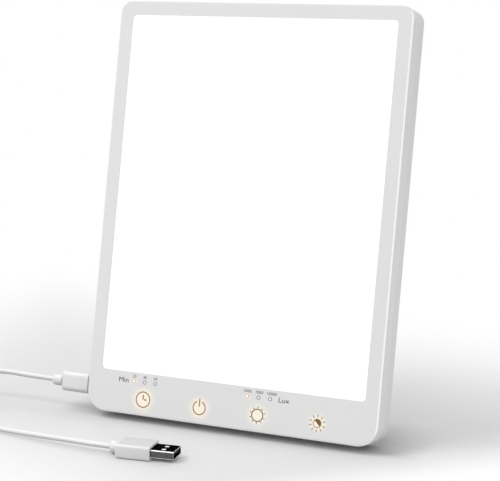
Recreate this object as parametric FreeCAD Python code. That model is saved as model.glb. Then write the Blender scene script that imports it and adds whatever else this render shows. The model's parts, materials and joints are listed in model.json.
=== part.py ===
import FreeCAD, Part
import math
import os

# Light therapy lamp: a thin leaning light panel on a fold-out stand, with its USB lead.
# Millimetres. The panel is drawn upright, front face at y = 0 facing -Y, bottom edge at z = 0,
# centred on x = 0, and is then leaned back and stood on the floor at z = 0.

V = FreeCAD.Vector

# Panel
PANEL_WIDTH = 180.0
PANEL_HEIGHT = 240.0
PANEL_DEPTH = 21.0
LEAN = 12.3
CORNER_TOP = 6.8
CORNER_BOTTOM = 11.7
FRONT_CHAMFER = 0.8
REAR_ROUND = 2.5
SHELL_WALL = 2.0
SEAM_DEPTH = 11.0
SEAM_CHAMFER = 0.3
LIP_LENGTH = 1.5
LIP_WALL = 1.0
FIT_GAP = 0.1

# Window and light stack
BORDER_SIDE = 8.3
BORDER_TOP = 7.95
BORDER_BOTTOM = 24.5
WINDOW_CORNER = 2.6
WINDOW_RECESS = 0.5
WINDOW_GAP = 0.05
FLANGE_OVERLAP = 1.5
FLANGE_THICK = 1.2
GUIDE_THICK = 3.0
REFLECTOR_THICK = 0.3
TRAY_THICK = 0.8
STRIP_THICK = 1.0
STRIP_WIDTH = 2.8
LED_SIZE = 2.0
LED_PROUD = 0.8
LED_PITCH = 9.0
EDGE_GAP = 0.1

# Screws, bosses and posts
BOSS_RADIUS = 2.0
SCREW_RADIUS = 1.0
SCREW_HOLE_GAP = 0.02
SCREW_HEAD_RADIUS = 1.8
SCREW_HEAD_HEIGHT = 1.1
SCREW_HEAD_SINK = 0.1
SCREW_GRIP = 8.0
CROSS_WIDTH = 0.5
CROSS_DEPTH = 0.6
COVER_SCREW_TOP_SIDE = 28.0
COVER_SCREW_BOTTOM_SIDE = 12.0
COVER_SCREW_BOTTOM_Z = 6.5
TRAY_SCREW_BOTTOM_SIDE = 19.0
TRAY_SCREW_BOTTOM_Z = 18.0
BOARD_SCREW_LEFT = 13.0
BOARD_SCREW_RIGHT = 4.0
BOARD_SCREW_Z = 6.5
SHORT_GRIP = 3.0

# Touch keys and indicators on the lower border
KEY_COUNT = 4
KEY_SIDE = 36.0
KEY_SHIFT = 0.75
KEY_Z = 9.6
KEY_SPRING_RADIUS = 4.2
KEY_SPRING_WALL = 0.5
INDICATOR_KEYS = (0, 2)
INDICATOR_COUNT = 3
INDICATOR_PITCH = 7.0
INDICATOR_SHIFT = 0.35
INDICATOR_Z = 19.4
INDICATOR_RADIUS = 1.25
INDICATOR_LED_GAP = 0.4

# Main board
BOARD_LEFT_GAP = 7.0
BOARD_RIGHT_GAP = 23.0
BOARD_LOW = 3.6
BOARD_HIGH = 21.6
BOARD_THICK = 1.2
BOARD_CORNER = 8.0
CHIP_SIZE = 5.0
CHIP_HEIGHT = 1.0
COIL_BLOCK = 6.0
COIL_BLOCK_HEIGHT = 3.0
LEAD_BLOCK_SIZE = 5.0
LEAD_BLOCK_HEIGHT = 2.6
LEAD_BLOCK_SETBACK = 4.5
LEAD_BLOCK_Z = 13.5
LEAD_DIAMETER = 1.2
LEAD_DROP = 6.5
LEAD_TURN = 3.0

# Power socket on the left side, and the plug in it
SOCKET_DEPTH = 7.8
SOCKET_Z = 13.2
SOCKET_WIDE = 8.94
SOCKET_HIGH = 3.2
SOCKET_LENGTH = 7.3
SOCKET_WALL = 0.3
SOCKET_CLEAR = 0.25
TONGUE_WIDE = 6.7
TONGUE_THICK = 0.7
TONGUE_LENGTH = 4.6
TIP_GAP = 0.05
TIP_WALL = 0.5
TIP_LENGTH = 6.4
PLUG_GAP = 3.0
PLUG_LENGTH = 19.3
PLUG_WIDE = 11.6
PLUG_THICK = 6.5
PLUG_ROUND = 2.9
NECK_DIAMETER = 6.4
NECK_LENGTH = 6.8
NECK_GROOVES = 3
GROOVE_WIDTH = 0.8
GROOVE_DEPTH = 0.6

# Fold-out stand
STAND_WIDTH = 62.0
STAND_LENGTH = 72.0
STAND_THICK = 4.0
STAND_CORNER = 8.0
STAND_EDGE = 0.8
HINGE_Z = 30.0
BARREL_RADIUS = 2.4
BARREL_HALF = 25.7
PIN_RADIUS = 1.25
PIN_RUN_GAP = 0.05
LUG_GAP = 0.5
WASHER_THICK = 0.4
WASHER_RADIUS = 2.3
LUG_RADIUS = 2.4
ROOT_CLEAR = 4.5
RECESS_GAP = 0.6
RECESS_DEPTH = 5.0
RECESS_WALL = 1.6
STOP_GAP = 0.1
NOTCH_WIDTH = 26.0
NOTCH_HEIGHT = 12.0
NOTCH_DEPTH = 8.0
TIP_HEIGHT = 0.9
TIP_PAD_HALF = 22.0
TIP_PAD_LONG = 7.0
TIP_PAD_SINK = 0.8
TIP_PAD_INSET = 2.0

# Rubber feet under the panel
FOOT_SIDE = 28.0
FOOT_WIDTH = 22.0
FOOT_FRONT = 14.6
FOOT_BACK = 18.4
FOOT_SINK = 0.8
FOOT_PROUD = 0.9

# USB-A plug lying in front of the lamp: the middle of its tip, and the way it points
USB_TIP = (-5.6, -47.4)
USB_TURN = 7.0
USB_SHELL_WIDE = 12.0
USB_SHELL_HIGH = 4.5
USB_SHELL_WALL = 0.3
USB_SHELL_SHOWN = 13.2
USB_SHELL_HIDDEN = 5.0
USB_HOLE = 2.0
USB_HOLE_SPACING = 5.0
USB_HOLE_SETBACK = 5.2
USB_TONGUE_THICK = 1.8
USB_TONGUE_SETBACK = 0.6
USB_CONTACTS = 4
USB_CONTACT_PITCH = 2.2
USB_CONTACT_WIDE = 1.1
USB_CONTACT_THICK = 0.15
USB_BODY_LONG = 20.2
USB_BODY_WIDE = 15.4
USB_BODY_THICK = 8.1
USB_BODY_ROUND = 1.8
USB_NECK_LONG = 4.8
USB_NECK_DIAMETER = 6.6

# Lead: 3 mm cable, its two free stretches and the coil between them. The route is in the
# plane of the floor, with the front lower edge of the panel at y = 0 and the floor at z = 0.
CABLE_DIAMETER = 3.0
LAMP_RUN_OUT = 17.0
LAMP_ROUTE = (
    (-155.0, 11.0, 16.9),
    (-171.0, 10.6, 14.2),
    (-182.5, 5.6, 9.4),
    (-188.2, -3.6, 6.0),
    (-189.0, -13.0, 4.8),
)
USB_RUN_OUT = 9.0
USB_ROUTE = (
    (-66.0, -53.0, 2.3),
    (-83.0, -52.4, 1.6),
    (-102.0, -50.2, 1.6),
    (-120.0, -47.0, 1.6),
    (-137.0, -42.4, 1.7),
    (-151.0, -37.4, 2.8),
    (-164.0, -35.0, 4.4),
)
COIL_CENTRE = (-172.0, -18.0)
COIL_RADIUS = 17.0
COIL_BUNDLE = 9.2
COIL_EDGE = 2.0
TIE_TURN = 60.0
TIE_WIDTH = 6.0
TIE_THICK = 1.0
TIE_GAP = 0.1

EXTRA = 1.0
BEND_SHARE = 0.45

INNER_CORNER_TOP = CORNER_TOP - SHELL_WALL
INNER_CORNER_BOTTOM = CORNER_BOTTOM - SHELL_WALL
HALF_WIDTH = PANEL_WIDTH / 2
INNER_HALF = HALF_WIDTH - SHELL_WALL
COVER_INSIDE = PANEL_DEPTH - SHELL_WALL
WINDOW_HALF = HALF_WIDTH - BORDER_SIDE
WINDOW_LOW = BORDER_BOTTOM
WINDOW_HIGH = PANEL_HEIGHT - BORDER_TOP
STACK_HALF = WINDOW_HALF + FLANGE_OVERLAP
STACK_LOW = WINDOW_LOW - FLANGE_OVERLAP
STACK_HIGH = WINDOW_HIGH + FLANGE_OVERLAP
GUIDE_FRONT = SHELL_WALL + FLANGE_THICK
REFLECTOR_FRONT = GUIDE_FRONT + GUIDE_THICK
TRAY_FRONT = REFLECTOR_FRONT + REFLECTOR_THICK
TRAY_BACK = TRAY_FRONT + TRAY_THICK
STRIP_INSIDE = STACK_HALF + EDGE_GAP + LED_PROUD
STRIP_OUTSIDE = STRIP_INSIDE + STRIP_THICK
TRAY_HALF = STRIP_OUTSIDE + TRAY_THICK
BOSS_TOP_Z = PANEL_HEIGHT - SHELL_WALL - BOSS_RADIUS - FIT_GAP
BOARD_BACK = SOCKET_DEPTH - SOCKET_HIGH / 2
BOARD_FRONT = BOARD_BACK - BOARD_THICK
HINGE_Y = PANEL_DEPTH - RECESS_DEPTH / 2
BOARD_LEFT = -HALF_WIDTH + BOARD_LEFT_GAP
BOARD_RIGHT = HALF_WIDTH - BOARD_RIGHT_GAP
KEY_PITCH = (PANEL_WIDTH - 2 * KEY_SIDE) / (KEY_COUNT - 1)
KEY_X = [KEY_SHIFT - HALF_WIDTH + KEY_SIDE + i * KEY_PITCH for i in range(KEY_COUNT)]
INDICATOR_X = [KEY_X[key] + INDICATOR_SHIFT + (i - (INDICATOR_COUNT - 1) / 2) * INDICATOR_PITCH
               for key in INDICATOR_KEYS for i in range(INDICATOR_COUNT)]
FOOT_X = HALF_WIDTH - FOOT_SIDE
SOCKET_MOUTH = -HALF_WIDTH + SHELL_WALL - FIT_GAP
PLUG_FACE = -HALF_WIDTH - PLUG_GAP
lean = math.radians(LEAN)


def plate(x0, x1, z0, z1, y0, y1, low_radius=0.0, high_radius=0.0):
    """A slab parallel to the panel, from depth y0 to y1, with rounded lower and upper corners."""
    corners = (
        (x0, z0, low_radius, 180),
        (x1, z0, low_radius, 270),
        (x1, z1, high_radius, 0),
        (x0, z1, high_radius, 90),
    )
    edges = []
    first = last = None
    for x, z, radius, angle in corners:
        inward_x = radius if x == x0 else -radius
        inward_z = radius if z == z0 else -radius
        a, b = math.radians(angle), math.radians(angle + 90)
        middle = math.radians(angle + 45)
        cx, cz = x + inward_x, z + inward_z
        start = V(cx + radius * math.cos(a), y0, cz + radius * math.sin(a))
        end = V(cx + radius * math.cos(b), y0, cz + radius * math.sin(b))
        if last is not None:
            edges.append(Part.LineSegment(last, start).toShape())
        if radius > 0:
            bulge = V(cx + radius * math.cos(middle), y0, cz + radius * math.sin(middle))
            edges.append(Part.Arc(start, bulge, end).toShape())
        first = first or start
        last = end
    edges.append(Part.LineSegment(last, first).toShape())
    return Part.Face(Part.Wire(edges)).extrude(V(0, y1 - y0, 0))


def box(x0, x1, y0, y1, z0, z1):
    return Part.makeBox(x1 - x0, y1 - y0, z1 - z0, V(x0, y0, z0))


def rod(x, z, y0, y1, radius):
    """A cylinder across the panel's thickness."""
    return Part.makeCylinder(radius, y1 - y0, V(x, y0, z), V(0, 1, 0))


def bar(y, z, x0, x1, radius):
    """A cylinder along the panel's width."""
    return Part.makeCylinder(radius, x1 - x0, V(x0, y, z), V(1, 0, 0))


def edges_at(shape, y):
    """The edges that lie wholly at depth y."""
    return [e for e in shape.Edges if all(abs(v.Y - y) < 1e-6 for v in e.Vertexes)
            and abs(e.CenterOfMass.y - y) < 1e-6]


def join(shapes):
    whole = shapes[0]
    if len(shapes) > 1:
        whole = whole.multiFuse(shapes[1:])
    return whole.removeSplitter()


def slot_bar(y, z, thick, wide, x0, x1):
    """A bar along X with a rounded-end section, wide along Z and thick along Y."""
    flat = (wide - thick) / 2
    middle = box(x0, x1, y - thick / 2, y + thick / 2, z - flat, z + flat)
    ends = [bar(y, z + side * flat, x0, x1, thick / 2) for side in (-1, 1)]
    return join([middle] + ends)


def outer_block(y0, y1):
    return plate(-HALF_WIDTH, HALF_WIDTH, 0, PANEL_HEIGHT, y0, y1, CORNER_BOTTOM, CORNER_TOP)


def inner_block(y0, y1, shrink=0.0):
    return plate(-INNER_HALF + shrink, INNER_HALF - shrink, SHELL_WALL + shrink,
                 PANEL_HEIGHT - SHELL_WALL - shrink, y0, y1,
                 INNER_CORNER_BOTTOM - shrink, INNER_CORNER_TOP - shrink)


def between_keys(first):
    """Halfway from one key to the next."""
    return KEY_X[first] + KEY_PITCH / 2


def cover_screw_places():
    side = HALF_WIDTH - COVER_SCREW_TOP_SIDE
    top = [(x, BOSS_TOP_Z) for x in (-side, 0, side)]
    low = (between_keys(0), between_keys(2), HALF_WIDTH - COVER_SCREW_BOTTOM_SIDE)
    return top + [(x, COVER_SCREW_BOTTOM_Z) for x in low]


def tray_screw_places():
    side = (HALF_WIDTH - COVER_SCREW_TOP_SIDE) / 2
    top = [(x, BOSS_TOP_Z) for x in (-side, side)]
    low = (between_keys(0), HALF_WIDTH - TRAY_SCREW_BOTTOM_SIDE)
    return top + [(x, TRAY_SCREW_BOTTOM_Z) for x in low]


def board_screw_places():
    places = (BOARD_LEFT + BOARD_SCREW_LEFT, between_keys(1), BOARD_RIGHT - BOARD_SCREW_RIGHT)
    return [(x, BOARD_SCREW_Z) for x in places]


def screw_hole(x, z, seat, grip):
    """The hole that a screw whose head bears at depth seat fills."""
    return rod(x, z, seat - grip, seat, SCREW_RADIUS + SCREW_HOLE_GAP)


def front_frame():
    frame = outer_block(0, SEAM_DEPTH)
    frame = frame.makeChamfer(FRONT_CHAMFER, edges_at(frame, 0))
    frame = frame.cut(inner_block(SHELL_WALL, SEAM_DEPTH + EXTRA))
    posts = [rod(x, z, SHELL_WALL / 2, COVER_INSIDE, BOSS_RADIUS) for x, z in cover_screw_places()]
    posts += [rod(x, z, SHELL_WALL / 2, TRAY_FRONT, BOSS_RADIUS) for x, z in tray_screw_places()]
    posts += [rod(x, z, SHELL_WALL / 2, BOARD_FRONT, BOSS_RADIUS) for x, z in board_screw_places()]
    frame = join([frame] + posts)
    window = plate(-WINDOW_HALF, WINDOW_HALF, WINDOW_LOW, WINDOW_HIGH, -EXTRA,
                   SHELL_WALL + EXTRA, WINDOW_CORNER, WINDOW_CORNER)
    cuts = [window]
    cuts += [screw_hole(x, z, COVER_INSIDE, SCREW_GRIP) for x, z in cover_screw_places()]
    cuts += [screw_hole(x, z, TRAY_FRONT, SHORT_GRIP) for x, z in tray_screw_places()]
    cuts += [screw_hole(x, z, BOARD_FRONT, SHORT_GRIP) for x, z in board_screw_places()]
    cuts += [rod(x, INDICATOR_Z, -EXTRA, SHELL_WALL + EXTRA, INDICATOR_RADIUS) for x in INDICATOR_X]
    cuts.append(slot_bar(SOCKET_DEPTH, SOCKET_Z, SOCKET_HIGH + 2 * SOCKET_CLEAR,
                         SOCKET_WIDE + 2 * SOCKET_CLEAR, -HALF_WIDTH - EXTRA,
                         SOCKET_MOUTH + SOCKET_LENGTH))
    for cut in cuts:
        frame = frame.cut(cut)
    return frame


def recess_low():
    """The height of the recess's lower wall, which stops the open stand."""
    below = opening() - math.pi / 2
    half = STAND_THICK / 2
    out = PANEL_DEPTH - HINGE_Y
    stop = half / math.cos(below) + out * math.tan(below) + STOP_GAP
    return HINGE_Z - max(stop, BARREL_RADIUS + LUG_GAP)


def recess():
    low = recess_low()
    high = HINGE_Z + STAND_LENGTH + RECESS_GAP
    half = STAND_WIDTH / 2 + RECESS_GAP
    back = PANEL_DEPTH + EXTRA
    pocket = plate(-half, half, low, high, PANEL_DEPTH - RECESS_DEPTH, back,
                   0, STAND_CORNER + RECESS_GAP)
    notch = plate(-NOTCH_WIDTH / 2, NOTCH_WIDTH / 2, high - NOTCH_HEIGHT / 4,
                  high - NOTCH_HEIGHT / 4 + NOTCH_HEIGHT, PANEL_DEPTH - NOTCH_DEPTH, back,
                  0, NOTCH_HEIGHT / 2)
    return pocket, notch


def pocket_shell(pocket_depth, x0, x1, z0, z1):
    return box(x0 - RECESS_WALL, x1 + RECESS_WALL, PANEL_DEPTH - pocket_depth - RECESS_WALL,
               COVER_INSIDE + SHELL_WALL / 2, z0 - RECESS_WALL, z1 + RECESS_WALL)


def foot_block(side, sink):
    """A foot's block under the panel, long enough to reach the floor."""
    x = side * FOOT_X
    return box(x - FOOT_WIDTH / 2, x + FOOT_WIDTH / 2, FOOT_FRONT, FOOT_BACK, -SHELL_WALL * 2, sink)


def back_cover():
    cover = outer_block(SEAM_DEPTH, PANEL_DEPTH)
    cover = cover.makeFillet(REAR_ROUND, edges_at(cover, PANEL_DEPTH))
    cover = cover.makeChamfer(SEAM_CHAMFER, edges_at(cover, SEAM_DEPTH))
    cover = cover.cut(inner_block(SEAM_DEPTH - EXTRA, COVER_INSIDE))
    lip = inner_block(SEAM_DEPTH - LIP_LENGTH, SEAM_DEPTH + EXTRA, FIT_GAP)
    lip = lip.cut(inner_block(SEAM_DEPTH - 2 * LIP_LENGTH, SEAM_DEPTH + 2 * EXTRA, LIP_WALL))
    lip_root = inner_block(SEAM_DEPTH + SEAM_CHAMFER, SEAM_DEPTH + EXTRA)
    lip_root = lip_root.cut(inner_block(SEAM_DEPTH, SEAM_DEPTH + 2 * EXTRA, LIP_WALL))
    for x, z in cover_screw_places():
        lip = lip.cut(rod(x, z, 0, PANEL_DEPTH, BOSS_RADIUS + FIT_GAP))
        lip_root = lip_root.cut(rod(x, z, 0, PANEL_DEPTH, BOSS_RADIUS + FIT_GAP))
    pocket, notch = recess()
    shells = []
    for space, depth in ((pocket, RECESS_DEPTH), (notch, NOTCH_DEPTH)):
        b = space.BoundBox
        shells.append(pocket_shell(depth, b.XMin, b.XMax, b.ZMin, b.ZMax))
    cover = join([cover, lip, lip_root] + shells)
    cover = cover.cut(pocket).cut(notch)
    lugs = []
    half = STAND_WIDTH / 2 + RECESS_GAP
    for x0, x1 in ((-half - RECESS_WALL / 2, -BARREL_HALF - LUG_GAP),
                   (BARREL_HALF + LUG_GAP, half + RECESS_WALL / 2)):
        lugs.append(bar(HINGE_Y, HINGE_Z, x0, x1, LUG_RADIUS))
        lugs.append(box(x0, x1, PANEL_DEPTH - RECESS_DEPTH - RECESS_WALL / 2, HINGE_Y,
                        HINGE_Z - LUG_RADIUS, HINGE_Z + LUG_RADIUS))
    cover = join([cover] + lugs)
    cover = cover.cut(hinge_pin())
    for x, z in cover_screw_places():
        seat = PANEL_DEPTH - SCREW_HEAD_HEIGHT - SCREW_HEAD_SINK
        cover = cover.cut(rod(x, z, seat, PANEL_DEPTH + EXTRA, SCREW_HEAD_RADIUS + FIT_GAP))
        cover = cover.cut(rod(x, z, COVER_INSIDE - EXTRA, seat + EXTRA, SCREW_RADIUS + FIT_GAP))
    for side in (-1, 1):
        cover = cover.cut(foot_block(side, FOOT_SINK))
    return cover


def diffuser():
    flange = plate(-STACK_HALF, STACK_HALF, STACK_LOW, STACK_HIGH, SHELL_WALL, GUIDE_FRONT)
    pane = plate(-WINDOW_HALF + WINDOW_GAP, WINDOW_HALF - WINDOW_GAP, WINDOW_LOW + WINDOW_GAP,
                 WINDOW_HIGH - WINDOW_GAP, WINDOW_RECESS, SHELL_WALL,
                 WINDOW_CORNER - WINDOW_GAP, WINDOW_CORNER - WINDOW_GAP)
    return join([flange, pane])


def light_guide():
    return plate(-STACK_HALF, STACK_HALF, STACK_LOW, STACK_HIGH, GUIDE_FRONT, REFLECTOR_FRONT)


def reflector_sheet():
    return plate(-STACK_HALF, STACK_HALF, STACK_LOW, STACK_HIGH, REFLECTOR_FRONT, TRAY_FRONT)


def light_tray():
    base = plate(-TRAY_HALF, TRAY_HALF, STACK_LOW, STACK_HIGH, TRAY_FRONT, TRAY_BACK)
    sides = [box(x0, x0 + TRAY_THICK, SHELL_WALL, TRAY_BACK, STACK_LOW, STACK_HIGH)
             for x0 in (-TRAY_HALF, STRIP_OUTSIDE)]
    ears = []
    for x, z in tray_screw_places():
        low, high = sorted((z, STACK_HIGH - EXTRA if z > PANEL_HEIGHT / 2 else STACK_LOW + EXTRA))
        ears.append(box(x - BOSS_RADIUS, x + BOSS_RADIUS, TRAY_FRONT, TRAY_BACK, low, high))
        ears.append(rod(x, z, TRAY_FRONT, TRAY_BACK, BOSS_RADIUS))
    tray = join([base] + sides + ears)
    for x, z in tray_screw_places():
        tray = tray.cut(rod(x, z, 0, PANEL_DEPTH, SCREW_RADIUS + SCREW_HOLE_GAP))
    return tray


def strip_middle():
    return GUIDE_FRONT + GUIDE_THICK / 2


def led_strip(side):
    y = strip_middle()
    x0, x1 = sorted((side * STRIP_INSIDE, side * STRIP_OUTSIDE))
    return box(x0, x1, y - STRIP_WIDTH / 2, y + STRIP_WIDTH / 2, STACK_LOW, STACK_HIGH)


def strip_leds(side):
    y = strip_middle()
    x0, x1 = sorted((side * STRIP_INSIDE, side * (STRIP_INSIDE - LED_PROUD)))
    count = int((STACK_HIGH - STACK_LOW - LED_PITCH) // LED_PITCH) + 1
    first = (STACK_LOW + STACK_HIGH) / 2 - LED_PITCH * (count - 1) / 2
    half = LED_SIZE / 2
    leds = []
    for i in range(count):
        z = first + i * LED_PITCH
        leds.append(box(x0, x1, y - half, y + half, z - half, z + half))
    return Part.makeCompound(leds)


def main_board():
    board = plate(BOARD_LEFT, BOARD_RIGHT, BOARD_LOW, BOARD_HIGH, BOARD_FRONT, BOARD_BACK,
                  BOARD_CORNER, 0)
    for x, z in cover_screw_places():
        clear = BOSS_RADIUS + 2 * FIT_GAP
        board = board.cut(rod(x, z, 0, PANEL_DEPTH, clear))
        board = board.cut(box(x - clear, x + clear, 0, PANEL_DEPTH, z - BOARD_HIGH, z))
    for x, z in tray_screw_places():
        clear = BOSS_RADIUS + 2 * FIT_GAP
        board = board.cut(box(x - clear, x + clear, 0, PANEL_DEPTH, z - clear, z + BOARD_HIGH))
    for x, z in board_screw_places():
        board = board.cut(rod(x, z, 0, PANEL_DEPTH, SCREW_RADIUS + SCREW_HOLE_GAP))
    return board


def board_parts():
    """Chips and an inductor on the board's back, and a small light behind each key and indicator."""
    parts = []
    for x in (KEY_X[1], KEY_X[2]):
        parts.append(box(x - CHIP_SIZE / 2, x + CHIP_SIZE / 2, BOARD_BACK, BOARD_BACK + CHIP_HEIGHT,
                         KEY_Z - CHIP_SIZE / 2, KEY_Z + CHIP_SIZE / 2))
    parts.append(box(KEY_X[0] - COIL_BLOCK / 2, KEY_X[0] + COIL_BLOCK / 2, BOARD_BACK,
                     BOARD_BACK + COIL_BLOCK_HEIGHT, KEY_Z - COIL_BLOCK / 2, KEY_Z + COIL_BLOCK / 2))
    lights = [(x, KEY_Z) for x in KEY_X] + [(x, INDICATOR_Z) for x in INDICATOR_X]
    half = LED_SIZE / 2
    for x, z in lights:
        parts.append(box(x - half, x + half, BOARD_FRONT - LED_PROUD, BOARD_FRONT, z - half, z + half))
    return Part.makeCompound(parts)


def lead_block_x(side):
    """The middle of a lead connector, which stands on the board's front near one of its ends."""
    end = BOARD_LEFT if side < 0 else BOARD_RIGHT
    setback = LEAD_BLOCK_SETBACK + LEAD_BLOCK_SIZE / 2 if side < 0 else LEAD_BLOCK_SIZE / 2
    return end - side * setback


def lead_connectors():
    half = LEAD_BLOCK_SIZE / 2
    blocks = []
    for side in (-1, 1):
        x = lead_block_x(side)
        blocks.append(box(x - half, x + half, BOARD_FRONT - LEAD_BLOCK_HEIGHT, BOARD_FRONT,
                          LEAD_BLOCK_Z - half, LEAD_BLOCK_Z + half))
    return Part.makeCompound(blocks)


def key_springs():
    springs = []
    for x in KEY_X:
        outside = rod(x, KEY_Z, SHELL_WALL, BOARD_FRONT, KEY_SPRING_RADIUS)
        inside = rod(x, KEY_Z, 0, PANEL_DEPTH, KEY_SPRING_RADIUS - KEY_SPRING_WALL)
        springs.append(outside.cut(inside))
    return Part.makeCompound(springs)


def indicator_lights():
    back = BOARD_FRONT - LED_PROUD - INDICATOR_LED_GAP
    return Part.makeCompound([rod(x, INDICATOR_Z, 0, back, INDICATOR_RADIUS) for x in INDICATOR_X])


def one_screw(x, z, seat, grip):
    """A cross-head screw whose head bears at depth seat and whose shank goes towards the front."""
    head = rod(x, z, seat, seat + SCREW_HEAD_HEIGHT, SCREW_HEAD_RADIUS)
    screw = join([head, rod(x, z, seat - grip, seat + SCREW_HEAD_HEIGHT / 2, SCREW_RADIUS)])
    reach = SCREW_HEAD_RADIUS * 0.6
    top = seat + SCREW_HEAD_HEIGHT
    across = box(x - reach, x + reach, top - CROSS_DEPTH, top + EXTRA,
                 z - CROSS_WIDTH / 2, z + CROSS_WIDTH / 2)
    along = box(x - CROSS_WIDTH / 2, x + CROSS_WIDTH / 2, top - CROSS_DEPTH, top + EXTRA,
                z - reach, z + reach)
    return screw.cut(across).cut(along)


def cover_screws():
    seat = PANEL_DEPTH - SCREW_HEAD_HEIGHT - SCREW_HEAD_SINK
    grip = seat - COVER_INSIDE + SCREW_GRIP - EXTRA
    return Part.makeCompound([one_screw(x, z, seat, grip) for x, z in cover_screw_places()])


def tray_screws():
    grip = SHORT_GRIP + TRAY_THICK - SCREW_HOLE_GAP
    return Part.makeCompound([one_screw(x, z, TRAY_BACK, grip) for x, z in tray_screw_places()])


def board_screws():
    grip = SHORT_GRIP + BOARD_THICK - SCREW_HOLE_GAP
    return Part.makeCompound([one_screw(x, z, BOARD_BACK, grip) for x, z in board_screw_places()])


def power_socket():
    outside = slot_bar(SOCKET_DEPTH, SOCKET_Z, SOCKET_HIGH, SOCKET_WIDE,
                       SOCKET_MOUTH, SOCKET_MOUTH + SOCKET_LENGTH)
    inside = slot_bar(SOCKET_DEPTH, SOCKET_Z, SOCKET_HIGH - 2 * SOCKET_WALL,
                      SOCKET_WIDE - 2 * SOCKET_WALL, SOCKET_MOUTH - EXTRA,
                      SOCKET_MOUTH + SOCKET_LENGTH - SOCKET_WALL)
    return outside.cut(inside)


def socket_tongue():
    back = SOCKET_MOUTH + SOCKET_LENGTH - SOCKET_WALL
    return box(back - TONGUE_LENGTH, back, SOCKET_DEPTH - TONGUE_THICK / 2,
               SOCKET_DEPTH + TONGUE_THICK / 2, SOCKET_Z - TONGUE_WIDE / 2, SOCKET_Z + TONGUE_WIDE / 2)


def lamp_plug_tip():
    """The metal shell that goes into the socket, open at its inner end for the tongue."""
    high = SOCKET_HIGH - 2 * SOCKET_WALL - 2 * TIP_GAP
    wide = SOCKET_WIDE - 2 * SOCKET_WALL - 2 * TIP_GAP
    end = SOCKET_MOUTH + TIP_LENGTH
    outside = slot_bar(SOCKET_DEPTH, SOCKET_Z, high, wide, PLUG_FACE, end)
    inside = slot_bar(SOCKET_DEPTH, SOCKET_Z, high - 2 * TIP_WALL, wide - 2 * TIP_WALL,
                      end - TONGUE_LENGTH - TIP_WALL, end + EXTRA)
    return outside.cut(inside)


def lamp_plug_body():
    body = slot_bar(SOCKET_DEPTH, SOCKET_Z, PLUG_THICK, PLUG_WIDE, PLUG_FACE - PLUG_LENGTH, PLUG_FACE)
    ends = [e for e in body.Edges if abs(e.CenterOfMass.x - (PLUG_FACE - PLUG_LENGTH)) < 1e-6]
    return body.makeFillet(PLUG_ROUND / 2, ends)


def grooved_neck(diameter, length, cable):
    """A strain relief along -X from the origin, with rounded grooves, narrowing to the cable."""
    wide, narrow = diameter / 2, cable / 2 + GROOVE_DEPTH
    neck = Part.makeCone(wide, narrow, length, V(0, 0, 0), V(-1, 0, 0))
    step = length / (NECK_GROOVES + 1)
    for i in range(NECK_GROOVES):
        x = -step * (i + 1)
        ring = Part.makeCylinder(diameter, GROOVE_WIDTH, V(x - GROOVE_WIDTH / 2, 0, 0), V(1, 0, 0))
        core_radius = wide + (narrow - wide) * (step * (i + 1)) / length - GROOVE_DEPTH
        core = Part.makeCylinder(core_radius, GROOVE_WIDTH, V(x - GROOVE_WIDTH / 2, 0, 0), V(1, 0, 0))
        neck = neck.cut(ring.cut(core))
    return neck


def lamp_plug_neck():
    neck = grooved_neck(NECK_DIAMETER, NECK_LENGTH, CABLE_DIAMETER)
    neck.translate(V(PLUG_FACE - PLUG_LENGTH, SOCKET_DEPTH, SOCKET_Z))
    return neck


def hinge_pin():
    half = STAND_WIDTH / 2 + RECESS_GAP
    return bar(HINGE_Y, HINGE_Z, -half, half, PIN_RADIUS)


def hinge_washers():
    """A spring washer on the pin beside each lug, which makes the hinge stiff."""
    washers = []
    for side in (-1, 1):
        x0, x1 = sorted((side * (BARREL_HALF + LUG_GAP), side * (BARREL_HALF + LUG_GAP - WASHER_THICK)))
        ring = bar(HINGE_Y, HINGE_Z, x0, x1, WASHER_RADIUS)
        washers.append(ring.cut(hinge_pin()))
    return Part.makeCompound(washers)


def floor_height():
    """How far the panel's front lower edge is above the floor."""
    centre_y, centre_z = PANEL_DEPTH - REAR_ROUND, REAR_ROUND
    lowest = -centre_y * math.sin(lean) + centre_z * math.cos(lean) - REAR_ROUND
    return FOOT_PROUD - lowest


def opening():
    """The stand's angle from folded to open, which brings its tip down to the floor."""
    hinge_height = -HINGE_Y * math.sin(lean) + HINGE_Z * math.cos(lean) + floor_height()
    half = STAND_THICK / 2
    reach = math.hypot(STAND_LENGTH, half)
    down = math.asin((hinge_height - TIP_HEIGHT) / reach) - math.atan2(half, STAND_LENGTH)
    return math.pi / 2 - lean + down


def folded_stand():
    """The stand in its recess, its hinge end down."""
    half = STAND_THICK / 2
    wide = plate(-STAND_WIDTH / 2, STAND_WIDTH / 2, HINGE_Z + ROOT_CLEAR, HINGE_Z + STAND_LENGTH,
                 HINGE_Y - half, HINGE_Y + half, STAND_EDGE * 2, STAND_CORNER)
    rims = edges_at(wide, HINGE_Y - half) + edges_at(wide, HINGE_Y + half)
    wide = wide.makeFillet(STAND_EDGE, rims)
    root = box(-BARREL_HALF, BARREL_HALF, HINGE_Y - half, HINGE_Y + half, HINGE_Z,
               HINGE_Z + ROOT_CLEAR + 2 * STAND_EDGE)
    barrel = bar(HINGE_Y, HINGE_Z, -BARREL_HALF, BARREL_HALF, BARREL_RADIUS)
    stand = join([wide, root, barrel])
    stand = stand.cut(bar(HINGE_Y, HINGE_Z, -STAND_WIDTH, STAND_WIDTH, PIN_RADIUS + PIN_RUN_GAP))
    return stand.cut(folded_pad(0))


def folded_pad(proud):
    """The rubber strip in the stand's outer face near its tip."""
    face = HINGE_Y + STAND_THICK / 2
    high = HINGE_Z + STAND_LENGTH - TIP_PAD_INSET
    return box(-TIP_PAD_HALF, TIP_PAD_HALF, face - TIP_PAD_SINK, face + proud, high - TIP_PAD_LONG, high)


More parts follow.
